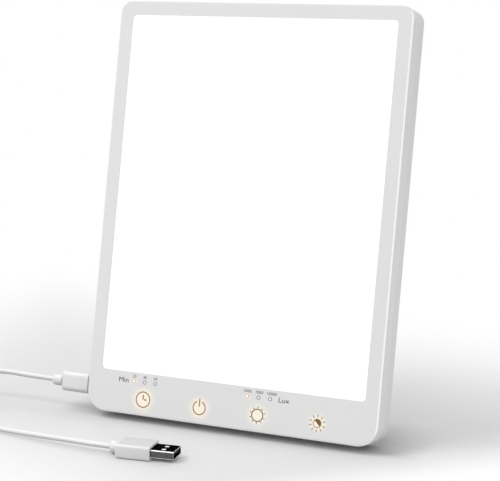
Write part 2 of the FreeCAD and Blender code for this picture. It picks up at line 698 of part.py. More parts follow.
def open_out(shape):
    shape = shape.copy()
    shape.rotate(V(0, HINGE_Y, HINGE_Z), V(1, 0, 0), -math.degrees(opening()))
    return shape


def set_up(shape):
    """Lean the upright panel back about its front lower edge and lift it to the floor."""
    shape = shape.copy()
    shape.rotate(V(0, 0, 0), V(1, 0, 0), -LEAN)
    shape.translate(V(0, 0, floor_height()))
    return shape


def above_floor(shape):
    big = PANEL_HEIGHT
    return shape.cut(box(-big, big, -big, big, -big, 0))


def panel_point(x, y, z):
    """Where a point of the upright panel goes when it is set up."""
    return V(x, y * math.cos(lean) + z * math.sin(lean),
             z * math.cos(lean) - y * math.sin(lean) + floor_height())


def usb_place(shape):
    """Put a piece drawn with its tip at the origin, pointing to +X, where the plug lies."""
    shape = shape.copy()
    shape.rotate(V(0, 0, 0), V(0, 0, 1), USB_TURN)
    shape.translate(V(USB_TIP[0], USB_TIP[1], USB_BODY_THICK / 2))
    return shape


def usb_shell():
    long = USB_SHELL_SHOWN + USB_SHELL_HIDDEN
    wide, high = USB_SHELL_WIDE / 2, USB_SHELL_HIGH / 2
    shell = box(-long, 0, -wide, wide, -high, high)
    rounds = [e for e in shell.Edges if abs(e.Length - long) < 1e-6]
    shell = shell.makeFillet(2 * USB_SHELL_WALL, rounds)
    inside = box(-long + USB_SHELL_WALL, EXTRA, -wide + USB_SHELL_WALL, wide - USB_SHELL_WALL,
                 -high + USB_SHELL_WALL, high - USB_SHELL_WALL)
    inside = inside.makeFillet(USB_SHELL_WALL, [e for e in inside.Edges
                                                if abs(e.Length - long - EXTRA + USB_SHELL_WALL) < 1e-6])
    shell = shell.cut(inside)
    half = USB_HOLE / 2
    for side in (-1, 1):
        y = side * USB_HOLE_SPACING / 2
        shell = shell.cut(box(-USB_HOLE_SETBACK - half, -USB_HOLE_SETBACK + half, y - half, y + half,
                              -high - EXTRA, high + EXTRA))
    return shell


def usb_tongue():
    long = USB_SHELL_SHOWN + USB_SHELL_HIDDEN
    wide = USB_SHELL_WIDE / 2 - USB_SHELL_WALL
    low = -USB_SHELL_HIGH / 2 + USB_SHELL_WALL
    root = box(-long + USB_SHELL_WALL, -USB_SHELL_SHOWN, -wide, wide, low, -low)
    root = root.makeFillet(USB_SHELL_WALL, [e for e in root.Edges
                                            if abs(e.Length - USB_SHELL_HIDDEN + USB_SHELL_WALL) < 1e-6])
    tongue = box(-USB_SHELL_SHOWN - EXTRA, -USB_TONGUE_SETBACK, -wide + USB_SHELL_WALL,
                 wide - USB_SHELL_WALL, -low - USB_TONGUE_THICK, -low)
    return join([root, tongue])


def usb_contacts():
    low = -USB_SHELL_HIGH / 2 + USB_SHELL_WALL
    face = -low - USB_TONGUE_THICK
    pads = []
    for i in range(USB_CONTACTS):
        y = (i - (USB_CONTACTS - 1) / 2) * USB_CONTACT_PITCH
        pads.append(box(-USB_SHELL_SHOWN + EXTRA, -2 * USB_TONGUE_SETBACK, y - USB_CONTACT_WIDE / 2,
                        y + USB_CONTACT_WIDE / 2, face - USB_CONTACT_THICK, face))
    return Part.makeCompound(pads)


def usb_body():
    wide, high = USB_BODY_WIDE / 2, USB_BODY_THICK / 2
    back = -USB_SHELL_SHOWN - USB_BODY_LONG
    body = box(back, -USB_SHELL_SHOWN, -wide, wide, -high, high)
    body = body.makeFillet(USB_BODY_ROUND, [e for e in body.Edges
                                            if abs(e.CenterOfMass.x + USB_SHELL_SHOWN) > 1e-6])
    return body.cut(box(-USB_SHELL_SHOWN - USB_SHELL_HIDDEN, 0, -USB_SHELL_WIDE / 2, USB_SHELL_WIDE / 2,
                        -USB_SHELL_HIGH / 2, USB_SHELL_HIGH / 2))


def usb_neck():
    neck = grooved_neck(USB_NECK_DIAMETER, USB_NECK_LONG, CABLE_DIAMETER)
    neck.translate(V(-USB_SHELL_SHOWN - USB_BODY_LONG, 0, 0))
    return neck


def tube(points, diameter, name):
    """A round cable through the points: straight runs joined by tangent arcs."""
    points = [V(*p) for p in points]
    edges = []
    last = points[0]
    length = 0.0
    radii = []
    for before, corner, after in zip(points, points[1:], points[2:]):
        into, out = corner - before, after - corner
        shorter = min(into.Length, out.Length)
        turn = into.getAngle(out)
        radius = BEND_SHARE * shorter / math.tan(turn / 2)
        back = radius * math.tan(turn / 2)
        start = corner - into.normalize() * back
        end = corner + out.normalize() * back
        towards = (start + end) * 0.5 - corner
        middle = corner + towards.normalize() * (math.hypot(radius, back) - radius)
        edges.append(Part.LineSegment(last, start).toShape())
        edges.append(Part.Arc(start, middle, end).toShape())
        length += last.distanceToPoint(start) + radius * turn
        radii.append(round(radius, 1))
        last = end
    edges.append(Part.LineSegment(last, points[-1]).toShape())
    length += last.distanceToPoint(points[-1])
    path = Part.Wire(edges)
    circle = Part.Circle(points[0], points[1] - points[0], diameter / 2).toShape()
    solid = path.makePipeShell([Part.Wire([circle])], True, False)
    section = math.pi * diameter ** 2 / 4
    print(name, "radii", radii, "length", round(length, 1),
          "volume share", round(solid.Volume / (section * length), 4))
    return solid


def strip_lead(side):
    """The lead from a light strip's lower end to its connector on the board."""
    x = side * (STRIP_INSIDE + STRIP_THICK / 2)
    y = BOARD_FRONT - LEAD_BLOCK_HEIGHT / 2
    z = LEAD_BLOCK_Z
    end = lead_block_x(side) + side * LEAD_BLOCK_SIZE / 2
    points = ((x, strip_middle(), STACK_LOW), (x, strip_middle(), STACK_LOW - LEAD_DROP),
              (x - side * LEAD_TURN, y, z), (end, y, z))
    return tube(points, LEAD_DIAMETER, "strip lead")


def lamp_cable():
    """From the plug's neck straight out, and down to the coil."""
    start = panel_point(PLUG_FACE - PLUG_LENGTH - NECK_LENGTH, SOCKET_DEPTH, SOCKET_Z)
    points = ((start.x, start.y, start.z), (start.x - LAMP_RUN_OUT, start.y, start.z))
    return tube(points + LAMP_ROUTE, CABLE_DIAMETER, "lamp cable")


def usb_cable():
    """From the plug's neck straight out, down to the floor and along it to the coil."""
    points = []
    for back in (0, USB_RUN_OUT):
        place = usb_place(Part.Vertex(-USB_SHELL_SHOWN - USB_BODY_LONG - USB_NECK_LONG - back, 0, 0))
        points.append((place.X, place.Y, place.Z))
    return tube(tuple(points) + USB_ROUTE, CABLE_DIAMETER, "usb cable")


def coil_ring(grow):
    """A ring round the coil's bundle of turns, its walls and top further out by grow."""
    x, y = COIL_CENTRE
    outer = COIL_RADIUS + COIL_BUNDLE / 2 + grow
    inner = COIL_RADIUS - COIL_BUNDLE / 2 - grow
    ring = Part.makeCylinder(outer, COIL_BUNDLE + grow, V(x, y, 0), V(0, 0, 1))
    return ring.cut(Part.makeCylinder(inner, COIL_BUNDLE + grow, V(x, y, 0), V(0, 0, 1)))


def cable_coil():
    """The outer shape of the wound length between the two free stretches."""
    ring = coil_ring(0)
    rims = [e for e in ring.Edges if isinstance(e.Curve, Part.Circle)]
    return ring.makeFillet(COIL_EDGE, rims)


def coil_tie():
    """The strap that holds the coil's bundle of turns together."""
    x, y = COIL_CENTRE
    strap = coil_ring(TIE_GAP + TIE_THICK).cut(coil_ring(TIE_GAP))
    half = TIE_WIDTH / 2
    window = Part.makeBox(2 * COIL_RADIUS, TIE_WIDTH, 2 * COIL_RADIUS, V(0, -half, 0))
    window.rotate(V(0, 0, 0), V(0, 0, 1), TIE_TURN)
    window.translate(V(x, y, 0))
    return strap.common(window)


panel_nodes = {
    "front_frame": front_frame,
    "back_cover": back_cover,
    "diffuser": diffuser,
    "light_guide": light_guide,
    "reflector_sheet": reflector_sheet,
    "light_tray": light_tray,
    "led_strip_left": lambda: led_strip(-1),
    "led_strip_right": lambda: led_strip(1),
    "strip_leds_left": lambda: strip_leds(-1),
    "strip_leds_right": lambda: strip_leds(1),
    "strip_lead_left": lambda: strip_lead(-1),
    "strip_lead_right": lambda: strip_lead(1),
    "main_board": main_board,
    "board_parts": board_parts,
    "lead_connectors": lead_connectors,
    "touch_springs": key_springs,
    "indicator_lights": indicator_lights,
    "cover_screws": cover_screws,
    "tray_screws": tray_screws,
    "board_screws": board_screws,
    "power_socket": power_socket,
    "socket_tongue": socket_tongue,
    "lamp_plug_tip": lamp_plug_tip,
    "lamp_plug_body": lamp_plug_body,
    "lamp_plug_neck": lamp_plug_neck,
    "hinge_pin": hinge_pin,
    "hinge_washers": hinge_washers,
}
floor_nodes = {
    "lamp_cable": lamp_cable,
    "cable_coil": cable_coil,
    "coil_tie": coil_tie,
    "usb_cable": usb_cable,
    "usb_neck": lambda: usb_place(usb_neck()),
    "usb_body": lambda: usb_place(usb_body()),
    "usb_shell": lambda: usb_place(usb_shell()),
    "usb_tongue": lambda: usb_place(usb_tongue()),
    "usb_contacts": lambda: usb_place(usb_contacts()),
}

shapes = {name: set_up(make()) for name, make in panel_nodes.items()}
for side, name in ((-1, "foot_left"), (1, "foot_right")):
    shapes[name] = above_floor(set_up(foot_block(side, FOOT_SINK)))
shapes["stand"] = set_up(open_out(folded_stand()))
shapes["stand_pad"] = above_floor(set_up(open_out(folded_pad(STAND_THICK))))
for name, make in floor_nodes.items():
    shapes[name] = make()

# The origin is under the middle of the lamp's own box, which leaves the lead out.
lamp_box = FreeCAD.BoundBox()
for name in list(panel_nodes) + ["foot_left", "foot_right", "stand", "stand_pad"]:
    if not name.startswith("lamp_plug"):
        lamp_box.add(shapes[name].BoundBox)
middle_y = (lamp_box.YMin + lamp_box.YMax) / 2

os.makedirs("parts", exist_ok=True)
for name, shape in shapes.items():
    shape = shape.copy()
    shape.translate(V(0, -middle_y, 0))
    shape.exportStep("parts/" + name + ".step")
    print(name, "solids", len(shape.Solids), "valid", shape.isValid(), "volume", round(shape.Volume, 1))

hinge = panel_point(0, HINGE_Y, HINGE_Z)
print("opening", round(math.degrees(opening()), 3), "middle y", round(middle_y, 3),
      "floor height", round(floor_height(), 3))
print("hinge", round(hinge.y - middle_y, 3), round(hinge.z, 3))
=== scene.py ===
# %% [markdown]
# # A light therapy lamp, dressed round its CAD frame
#
# The lamp is a thin white panel that leans back on a small stand.  Its window is lit, its
# lower border carries four lit touch keys and six indicator lights, and a white USB lead
# is plugged into its left side.
#
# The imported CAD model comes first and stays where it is, and every new piece goes where
# the CAD says.  Lengths are in metres, +Z is up, and the lit face looks along -Y.

# %% Load the frame
import json
import math

import bmesh
import bpy
from mathutils import Matrix, Vector


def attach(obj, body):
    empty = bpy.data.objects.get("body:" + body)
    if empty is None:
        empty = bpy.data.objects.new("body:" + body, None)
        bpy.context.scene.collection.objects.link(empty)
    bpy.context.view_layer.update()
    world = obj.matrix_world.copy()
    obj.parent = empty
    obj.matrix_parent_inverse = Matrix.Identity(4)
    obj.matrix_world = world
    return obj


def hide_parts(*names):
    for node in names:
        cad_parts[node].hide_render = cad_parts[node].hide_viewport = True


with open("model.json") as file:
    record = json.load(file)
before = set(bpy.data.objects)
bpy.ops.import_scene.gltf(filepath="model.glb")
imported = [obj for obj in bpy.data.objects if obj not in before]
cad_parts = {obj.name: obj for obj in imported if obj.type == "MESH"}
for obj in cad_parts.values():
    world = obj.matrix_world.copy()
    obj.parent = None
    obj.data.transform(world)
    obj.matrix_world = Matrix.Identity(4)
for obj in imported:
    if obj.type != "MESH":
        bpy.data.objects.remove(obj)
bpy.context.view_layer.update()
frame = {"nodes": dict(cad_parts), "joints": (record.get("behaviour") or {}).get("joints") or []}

scene = bpy.context.scene

# %% [markdown]
# ## Lengths and the panel's own plane
#
# Sizes are easiest to read in millimetres, so one constant turns them into metres.  The
# leaning panel has its own coordinates: x across, height up the face, depth into the
# panel.  One function takes such a point to the frame.

# %% Millimetres and the panel's plane
MM = 0.001
LEAN = math.radians(12.3)
PANEL_EDGE = Vector((0, -46.119, 4.898)) * MM  # the face's lower edge, at mid width


def on_panel(x, depth, height):
    """A point given in the panel's own millimetres, as a point of the frame."""
    turned = Matrix.Rotation(-LEAN, 3, "X") @ Vector((x, depth, height))
    return PANEL_EDGE + turned * MM


HINGE_DEPTH, HINGE_HEIGHT = 18.5, 30  # mm, in the panel's own coordinates
hinge = Vector(frame["joints"][0]["pos_m"])
hinge_error = (on_panel(0, HINGE_DEPTH, HINGE_HEIGHT) - hinge).length
print("hinge is off its panel point by", round(hinge_error, 6), "m")

# %% [markdown]
# ## The camera
#
# The camera is fitted to the outlines of the panel in the photograph: how fast the edges
# run together gives the lens, and where they lie gives the camera's place.

# %% Camera
CAMERA_LENS = 109.9  # mm, for a 36 mm sensor
CAMERA_PLACE = (0.35387, -0.78868, 0.27083)
CAMERA_DOWN, CAMERA_ROUND = 10.919, 24.484  # degrees below level, and round to the right

camera = bpy.data.objects.new("camera", bpy.data.cameras.new("camera"))
scene.collection.objects.link(camera)
camera.data.lens = CAMERA_LENS
camera.location = CAMERA_PLACE
camera.rotation_euler = (math.radians(90 - CAMERA_DOWN), 0, math.radians(CAMERA_ROUND))
scene.camera = camera
scene.view_settings.view_transform = "Standard"
print("camera at", CAMERA_PLACE, "with a lens of", CAMERA_LENS, "mm")

# %% [markdown]
# ## The lead
#
# The real lead is one metre of soft 3 mm cable.  The photograph shows its two ends, at
# the lamp's plug and at the USB plug in front.  The rest is wound into a neat coil just
# outside the view.
#
# The cable is one NURBS spline.  Its control points repeat the route that the CAD's
# tubes follow.  In the coil the turns lie round each other like the strands of a rope:
# the first turn runs in the middle, and the others wander round it.

# %% The lead's route
CABLE = 3.0  # mm thick
LAMP_RUN = (
    (-116.9, -35.558, 16.719), (-134, -35.6, 16.8), (-155, -35.119, 17.5),
    (-171, -35.519, 14.4), (-182.5, -40.519, 9.4), (-188.2, -49.719, 6.0),
)
USB_RUN = (
    (-164, -81.119, 4.0), (-151, -84.0, 2.6), (-137, -88.6, 2.0),
    (-120, -93.2, 2.3), (-102, -95.6, 2.9), (-83, -97.2, 3.5),
    (-66, -98.2, 3.9), (-52.448, -99.0, 4.05), (-43.515, -98.174, 4.05),
)
COIL_MIDDLE = Vector((-172, -64.119, 4.62))
COIL_RADIUS = 17.0
COIL_TURNS = 7.25
POINTS_PER_TURN = 16
STRAND_GAP = 3.05  # mm from the bundle's middle line to the turns that lie round it
OUTWARD_AT, OUTWARD_OVER = 0.78, 0.3  # turns: where the cable leaves the middle line
LAY_START, LAY_PER_TURN = 200, 54.5  # degrees round the bundle


def coil_point(turn):
    """Where the cable is after so many turns: round the coil, and round its bundle."""
    round_coil = math.pi + turn * 2 * math.pi
    away = STRAND_GAP * min(1, max(0, (turn - OUTWARD_AT) / OUTWARD_OVER))
    lay = math.radians(LAY_START + LAY_PER_TURN * (turn - 1))
    out = COIL_RADIUS / math.cos(math.pi / POINTS_PER_TURN) + away * math.cos(lay)
    return COIL_MIDDLE + Vector((
        out * math.cos(round_coil), out * math.sin(round_coil), away * math.sin(lay)))


coil_steps = int(COIL_TURNS * POINTS_PER_TURN)
route = [Vector(p) for p in LAMP_RUN]
route += [coil_point(step / POINTS_PER_TURN) for step in range(coil_steps + 1)]
route += [Vector(p) for p in USB_RUN]
print("the route has", len(route), "points, the lowest at", min(p.z for p in route), "mm")

# %% The lead
lead_curve = bpy.data.curves.new("lead", "CURVE")
lead_curve.dimensions = "3D"
lead_curve.bevel_depth = CABLE / 2 * MM
lead_curve.bevel_resolution = 5
lead_curve.resolution_u = 6
lead_curve.use_fill_caps = True
spline = lead_curve.splines.new("NURBS")
spline.points.add(len(route) - 1)
for point, place in zip(spline.points, route):
    point.co = (*(place * MM), 1)
spline.order_u = 3
spline.use_endpoint_u = True
lead = bpy.data.objects.new("lead", lead_curve)
scene.collection.objects.link(lead)

# A copy without thickness is the cable's middle line, which gives the length.
line_curve = lead_curve.copy()
line_curve.bevel_depth = 0
line_object = bpy.data.objects.new("lead_line", line_curve)
line = bpy.data.meshes.new_from_object(line_object)
lead_line = [v.co.copy() for v in line.vertices]
bpy.data.objects.remove(line_object)
lead_length = sum((b - a).length for a, b in zip(lead_line, lead_line[1:]))
print("the lead is", round(lead_length, 4), "m long")

# %% [markdown]
# ## Working as by hand
#
# The operators act on whatever is selected, so each piece starts from an empty
# selection.  Faces and edges are picked by their place or by the way they face.  A
# finished piece has its place in its mesh, and its object at the origin.

# %% Helpers for modelling
ops = bpy.ops


def deselect():
    """Nothing is selected afterwards, and no piece is in edit mode."""
    if bpy.context.object and bpy.context.object.mode != "OBJECT":
        ops.object.mode_set(mode="OBJECT")
    ops.object.select_all(action="DESELECT")


def take(piece):
    """Only this piece is selected and active."""
    deselect()
    piece.select_set(True)
    bpy.context.view_layer.objects.active = piece


def begin(name, primitive, **sizes):
    """A new primitive under this name, in edit mode."""
    deselect()
    primitive(**sizes)
    piece = bpy.context.object
    piece.name = piece.data.name = name
    ops.object.mode_set(mode="EDIT")
    return piece


def block(name, size, place=(0, 0, 0)):
    """A box of this size with its middle at this place, both in mm, in edit mode."""
    piece = begin(name, ops.mesh.primitive_cube_add, size=1.0)
    ops.transform.resize(value=[length * MM for length in size])
    ops.transform.translate(value=[length * MM for length in place])
    return piece


def pick(kind, test):
    """Selects the VERT, EDGE or FACE elements that pass the test."""
    ops.mesh.select_mode(type=kind)
    ops.mesh.select_all(action="DESELECT")
    mesh = bmesh.from_edit_mesh(bpy.context.object.data)
    elements = {"VERT": mesh.verts, "EDGE": mesh.edges, "FACE": mesh.faces}[kind]
    for element in [element for element in elements if test(element)]:
        element.select_set(True)
    mesh.select_flush_mode()
    bmesh.update_edit_mesh(bpy.context.object.data)


def apply_place(piece):
    """The piece's turn, size and place go into its mesh."""
    take(piece)
    ops.object.transform_apply(location=True, rotation=True, scale=True)


def with_modifier(piece, kind, **settings):
    """Adds one modifier with these settings and applies it."""
    take(piece)
    modifier = piece.modifiers.new(kind.lower(), kind)
    for name, value in settings.items():
        setattr(modifier, name, value)
    ops.object.modifier_apply(modifier=modifier.name)


def close_up(piece):
    """Merges doubles and turns all faces outwards."""
    take(piece)
    ops.object.mode_set(mode="EDIT")
    ops.mesh.select_all(action="SELECT")
    ops.mesh.remove_doubles(threshold=1e-7)
    ops.mesh.normals_make_consistent(inside=False)
    ops.object.mode_set(mode="OBJECT")


def smooth(piece, angle=35):
    """Rounded faces shade as one, edges sharper than the angle stay."""
    take(piece)
    ops.object.shade_smooth_by_angle(angle=math.radians(angle))


def joined(name, pieces):
    """Several pieces become one mesh."""
    take(pieces[0])
    for piece in pieces[1:]:
        piece.select_set(True)
    ops.object.join()
    pieces[0].name = pieces[0].data.name = name
    return pieces[0]


def belongs(piece, material, body="lamp", stands_for=()):
    """Dresses a finished piece, puts it on its body and says which nodes it stands for."""
    piece.data.materials.clear()
    piece.data.materials.append(material)
    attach(piece, body)
    if stands_for:
        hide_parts(*stands_for)


print("helpers are ready")

# %% [markdown]
# ## Finishes
#
# No real surface is one flat colour.  Each finish is a small node tree on Object
# coordinates, which stay put on the piece from any side.  A slow noise lets the colour
# and the roughness drift, and a fine one lifts the surface by thousandths of a
# millimetre, as a mould's texture does.

# %% Helpers for finishes
def tree_of(name):
    """A new material, its nodes and its shader."""
    material = bpy.data.materials.new(name)
    material.use_nodes = True
    nodes = material.node_tree.nodes
    return material, material.node_tree, nodes["Principled BSDF"]


def node(tree, kind, settings=(), **inputs):
    """Adds a node.  An input is a value or another node's output, and is given by its
    name, or by an underscore and its number."""
    made = tree.nodes.new("ShaderNode" + kind)
    for name, value in dict(settings).items():
        setattr(made, name, value)
    for name, value in inputs.items():
        socket = made.inputs[int(name[1:]) if name[0] == "_" else name]
        if isinstance(value, bpy.types.NodeSocket):
            tree.links.new(value, socket)
        else:
            socket.default_value = value
    return made


def place_of(tree, stretch=(1, 1, 1)):
    """Object coordinates, stretched for a pattern that runs one way."""
    coordinates = node(tree, "TexCoord").outputs["Object"]
    if stretch == (1, 1, 1):
        return coordinates
    return node(tree, "Mapping", Vector=coordinates, Scale=stretch).outputs[0]


def noise(tree, place, size, detail=2.0):
    """A noise whose spots are about this many millimetres wide, from 0 to 1."""
    made = node(tree, "TexNoise", Vector=place, Scale=1 / (size * MM), Detail=detail)
    return made.outputs["Fac"]


def grey(level):
    """A grey: the same level of red, green and blue."""
    return level, level, level


def between(tree, factor, low, high):
    """A mix of two by a factor.  Each is a fixed colour or a node's output."""
    ends = [(*end, 1) if isinstance(end, tuple) else end for end in (low, high)]
    made = node(tree, "Mix", {"data_type": "RGBA"}, _0=factor, _6=ends[0], _7=ends[1])
    return made.outputs[2]


def spread(tree, factor, low, high, start=0.3, end=0.7):
    """A number between two, as the factor goes from start to end."""
    made = node(tree, "MapRange", Value=factor, _1=start, _2=end, _3=low, _4=high)
    return made.outputs[0]


def maths(tree, operation, first, second=0.0):
    """A sum on two numbers."""
    return node(tree, "Math", {"operation": operation}, _0=first, _1=second).outputs[0]


def largest(tree, numbers):
    """The largest of several numbers."""
    most = numbers[0]
    for number in numbers[1:]:
        most = maths(tree, "MAXIMUM", most, number)
    return most


def parts_of(tree, vector):
    """The x, y and z of a vector."""
    return node(tree, "SeparateXYZ", Vector=vector).outputs


def feed(shader, name, output):
    """A node's output goes to the shader's input of this name."""
    shader.id_data.links.new(output, shader.inputs[name])


def grain(tree, shader, height, depth):
    """A bump of this depth in millimetres from a height from 0 to 1."""
    made = node(tree, "Bump", Height=height, Distance=depth * MM, Strength=1.0)
    feed(shader, "Normal", made.outputs[0])


def finish(name, low, high, rough, drift, fleck, depth, metal=0.0, stretch=(1, 1, 1)):
    """A finish whose colour and roughness drift, with a fine grain on top."""
    material, tree, shader = tree_of(name)
    place = place_of(tree, stretch)
    slow = noise(tree, place, drift, 3)
    feed(shader, "Base Color", between(tree, slow, low, high))
    feed(shader, "Roughness", spread(tree, slow, *rough))
    grain(tree, shader, noise(tree, place, fleck), depth)
    shader.inputs["Metallic"].default_value = metal
    return material


print("finish helpers are ready")

# %% [markdown]
# ## White housing
#
# The housing is moulded ABS with a fine matt texture.  Behind the border are warm
# lights.  Each key glows through the plastic, full inside its symbol and fading over the
# next few millimetres, and the two chosen indicators glow a little too.  The glow is in
# the finish, a falloff of the distance from each light, because it has no edge that a
# mesh could follow.  It is emitted, and is also painted into the border's colour as a
# warm tint.
#
# The narrow chamfer has a painted highlight on its right side: it is made whiter,
# smoother and metallic there.  The finish finds it by its true normal, which lies between
# the face's and the side wall's.

# %% Keys and indicators on the panel
# Each key has its x and height on the face and its ring's radius, in mm.
KEYS = {"clock": (-52.95, 9.5, 4.4), "power": (-16.85, 9.2, 3.8),
        "sun": (19.2, 9.5, 3.4), "half_sun": (55.15, 9.55, 2.3)}
INDICATORS = ((-59.9, "20"), (-52.9, "40"), (-45.9, "60"),
              (12.1, "5000"), (19.1, "7000"), (26.1, "10000"))
INDICATOR_HEIGHT = 19.4
LIT = ("20", "5000")


def away_from(tree, place, x, height):
    """How far a point of the piece is from this point of the face."""
    return node(tree, "VectorMath", {"operation": "DISTANCE"}, _0=place,
                _1=tuple(on_panel(x, 0, height))).outputs["Value"]


print(len(KEYS), "keys and", len(INDICATORS), "indicators")

# %% Housing colours and texture
HOUSING_LOW, HOUSING_HIGH = grey(0.80), (0.83, 0.83, 0.825)
# The back cover and the stand are a little darker than the border: painted shade.
COVER_PAINTED_SHADE_LOW, COVER_PAINTED_SHADE_HIGH = grey(0.76), (0.80, 0.80, 0.795)
HOUSING_ROUGH = (0.42, 0.52)
HOUSING_DRIFT, MOULD_FLECK, MOULD_DEPTH = 45, 0.22, 0.006  # mm
housing_white = finish("housing_white", COVER_PAINTED_SHADE_LOW, COVER_PAINTED_SHADE_HIGH, HOUSING_ROUGH,
                       drift=HOUSING_DRIFT, fleck=MOULD_FLECK, depth=MOULD_DEPTH)
border_white, tree, shader = tree_of("housing_white_lit")
place = place_of(tree)
slow = noise(tree, place, HOUSING_DRIFT, 3)
plain = between(tree, slow, HOUSING_LOW, HOUSING_HIGH)
grain(tree, shader, noise(tree, place, MOULD_FLECK), MOULD_DEPTH)
print("housing finishes:", housing_white.name, border_white.name)

# %% Glow round the keys and the lit indicators
GLOW, GLOW_STRENGTH = (1.0, 0.87, 0.70), 0.2
PAINTED_GLOW_WHITE = (0.86, 0.785, 0.68)  # the border's colour where the glow is full: a painted glow
KEY_GLOW_NEAR, KEY_GLOW_FAR = 0.3, 5.6  # mm outside the symbol's ring
KEY_GLOW_FALL = 2.4  # a power: the glow falls quickly, then has a weak tail
LIGHT_GLOW = 0.5  # beside a key's
LIGHT_GLOW_NEAR, LIGHT_GLOW_FAR = 1.1, 2.6  # mm from the light's middle
glows = []
for x, height, radius in KEYS.values():
    near = spread(tree, away_from(tree, place, x, height), 1.0, 0.0,
                  (radius + KEY_GLOW_NEAR) * MM, (radius + KEY_GLOW_FAR) * MM)
    glows.append(maths(tree, "POWER", near, KEY_GLOW_FALL))
for x, number in INDICATORS:
    if number in LIT:
        glows.append(spread(tree, away_from(tree, place, x, INDICATOR_HEIGHT), LIGHT_GLOW,
                            0.0, LIGHT_GLOW_NEAR * MM, LIGHT_GLOW_FAR * MM))
glow = largest(tree, glows)
# Where the keys and the lit lights glow, the border's colour is warmed as well: a painted glow,
# beside the emitted light.
glow_painted_colour = between(tree, glow, plain, PAINTED_GLOW_WHITE)
shader.inputs["Emission Color"].default_value = (*GLOW, 1)
feed(shader, "Emission Strength", maths(tree, "MULTIPLY", glow, GLOW_STRENGTH))
print(len(glows), "glowing places")

# %% Painted highlight on the chamfer
# `facing` is 1 on the face, 0.7 on the chamfer and 0 on the side wall.
# A painted highlight: the chamfer is made whiter, smoother and metallic on its right side only,
# and not where it faces up.
CHAMFER_PAINTED_HIGHLIGHT, HIGHLIGHT_METALLIC, HIGHLIGHT_SMOOTHING = grey(0.97), 0.75, 0.2
normal = node(tree, "NewGeometry").outputs["True Normal"]
facing = node(tree, "VectorMath", {"operation": "DOT_PRODUCT"}, _0=normal,
              _1=(0, -math.cos(LEAN), math.sin(LEAN))).outputs["Value"]
to_right, _, upward = parts_of(tree, normal)
chamfer = maths(tree, "MULTIPLY", spread(tree, facing, 0, 1, 0.45, 0.55),
                spread(tree, facing, 1, 0, 0.90, 0.96))
chamfer = maths(tree, "MULTIPLY", chamfer, spread(tree, upward, 1, 0, 0.45, 0.7))
chamfer = maths(tree, "MULTIPLY", chamfer, spread(tree, to_right, 0, 1, 0.0, 0.3))
feed(shader, "Metallic", maths(tree, "MULTIPLY", chamfer, HIGHLIGHT_METALLIC))
feed(shader, "Base Color", between(tree, chamfer, glow_painted_colour, CHAMFER_PAINTED_HIGHLIGHT))
smoother = maths(tree, "MULTIPLY", chamfer, HIGHLIGHT_SMOOTHING)
rough = spread(tree, slow, *HOUSING_ROUGH)
feed(shader, "Roughness", maths(tree, "SUBTRACT", rough, smoother))
# The chamfer's bright right side is a painted highlight.
print("the chamfer is polished on the right side")

# %% [markdown]
# ## The lit window
#
# The diffuser is opal acrylic.  Light from the two strips spreads in the guide behind
# it, so the window is even and very bright, a little warmer towards the strips at its
# sides.  Emission on the sheet keeps the lamp lit from every side.

# %% Window finish
opal, tree, shader = tree_of("opal_diffuser_lit")
place = place_of(tree)
slow = noise(tree, place, 60, 2)
feed(shader, "Base Color", between(tree, slow, grey(0.86), (0.89, 0.89, 0.88)))
across = maths(tree, "ABSOLUTE", parts_of(tree, place)[0])
side = spread(tree, across, 0.0, 1.0, 60 * MM, 84 * MM)
feed(shader, "Emission Color", between(tree, side, (1.0, 1.0, 1.0), (1.0, 0.985, 0.955)))
feed(shader, "Emission Strength", spread(tree, slow, 0.30, 0.33))
feed(shader, "Roughness", spread(tree, slow, 0.30, 0.38))
grain(tree, shader, noise(tree, place, 0.5), 0.003)
print("window finish:", opal.name)

# %% [markdown]
# ## Finishes of the lead and its plugs
#
# The lead's sheath is soft satin plastic, and the plugs' mouldings are a little smoother.
# Both have light and shade painted into their colour by the way the surface faces: a
# painted highlight on their rounded shoulders and painted shade underneath, and on the
# plugs painted shade on the flat top.

# %% Lead and plug finishes
SHOULDER_PAINTED_HIGHLIGHT, FLAT_TOP_PAINTED_SHADE, UNDER_PAINTED_SHADE = grey(0.97), grey(0.69), grey(0.38)


def sheath(name, low, high, rough, drift, fleck, depth, shaded, flat_top):
    """A soft white moulding with light and shade painted into its colour: a painted
    highlight on its rounded shoulders, painted shade underneath from the slope `shaded`
    down, and painted shade on a flat top.  The slope is the upward part of the normal: 1
    on top, 0 on a side, -1 underneath."""
    material, tree, shader = tree_of(name)
    place = place_of(tree)
    slow = noise(tree, place, drift, 3)
    slope = parts_of(tree, node(tree, "NewGeometry").outputs["Normal"])[2]
    colour = between(tree, slow, low, high)
    # Painted highlight on the shoulders, painted shade on a flat top and underneath.
    shoulder = spread(tree, slope, 0.0, 1.0, 0.15, 0.75)
    colour = between(tree, shoulder, colour, SHOULDER_PAINTED_HIGHLIGHT)
    if flat_top:
        top = spread(tree, slope, 0.0, 1.0, 0.94, 0.985)
        colour = between(tree, top, colour, FLAT_TOP_PAINTED_SHADE)
    under = spread(tree, slope, 0.0, 1.0, shaded, -0.85)
    feed(shader, "Base Color", between(tree, under, colour, UNDER_PAINTED_SHADE))
    feed(shader, "Roughness", spread(tree, slow, *rough))
    grain(tree, shader, noise(tree, place, fleck), depth)
    return material


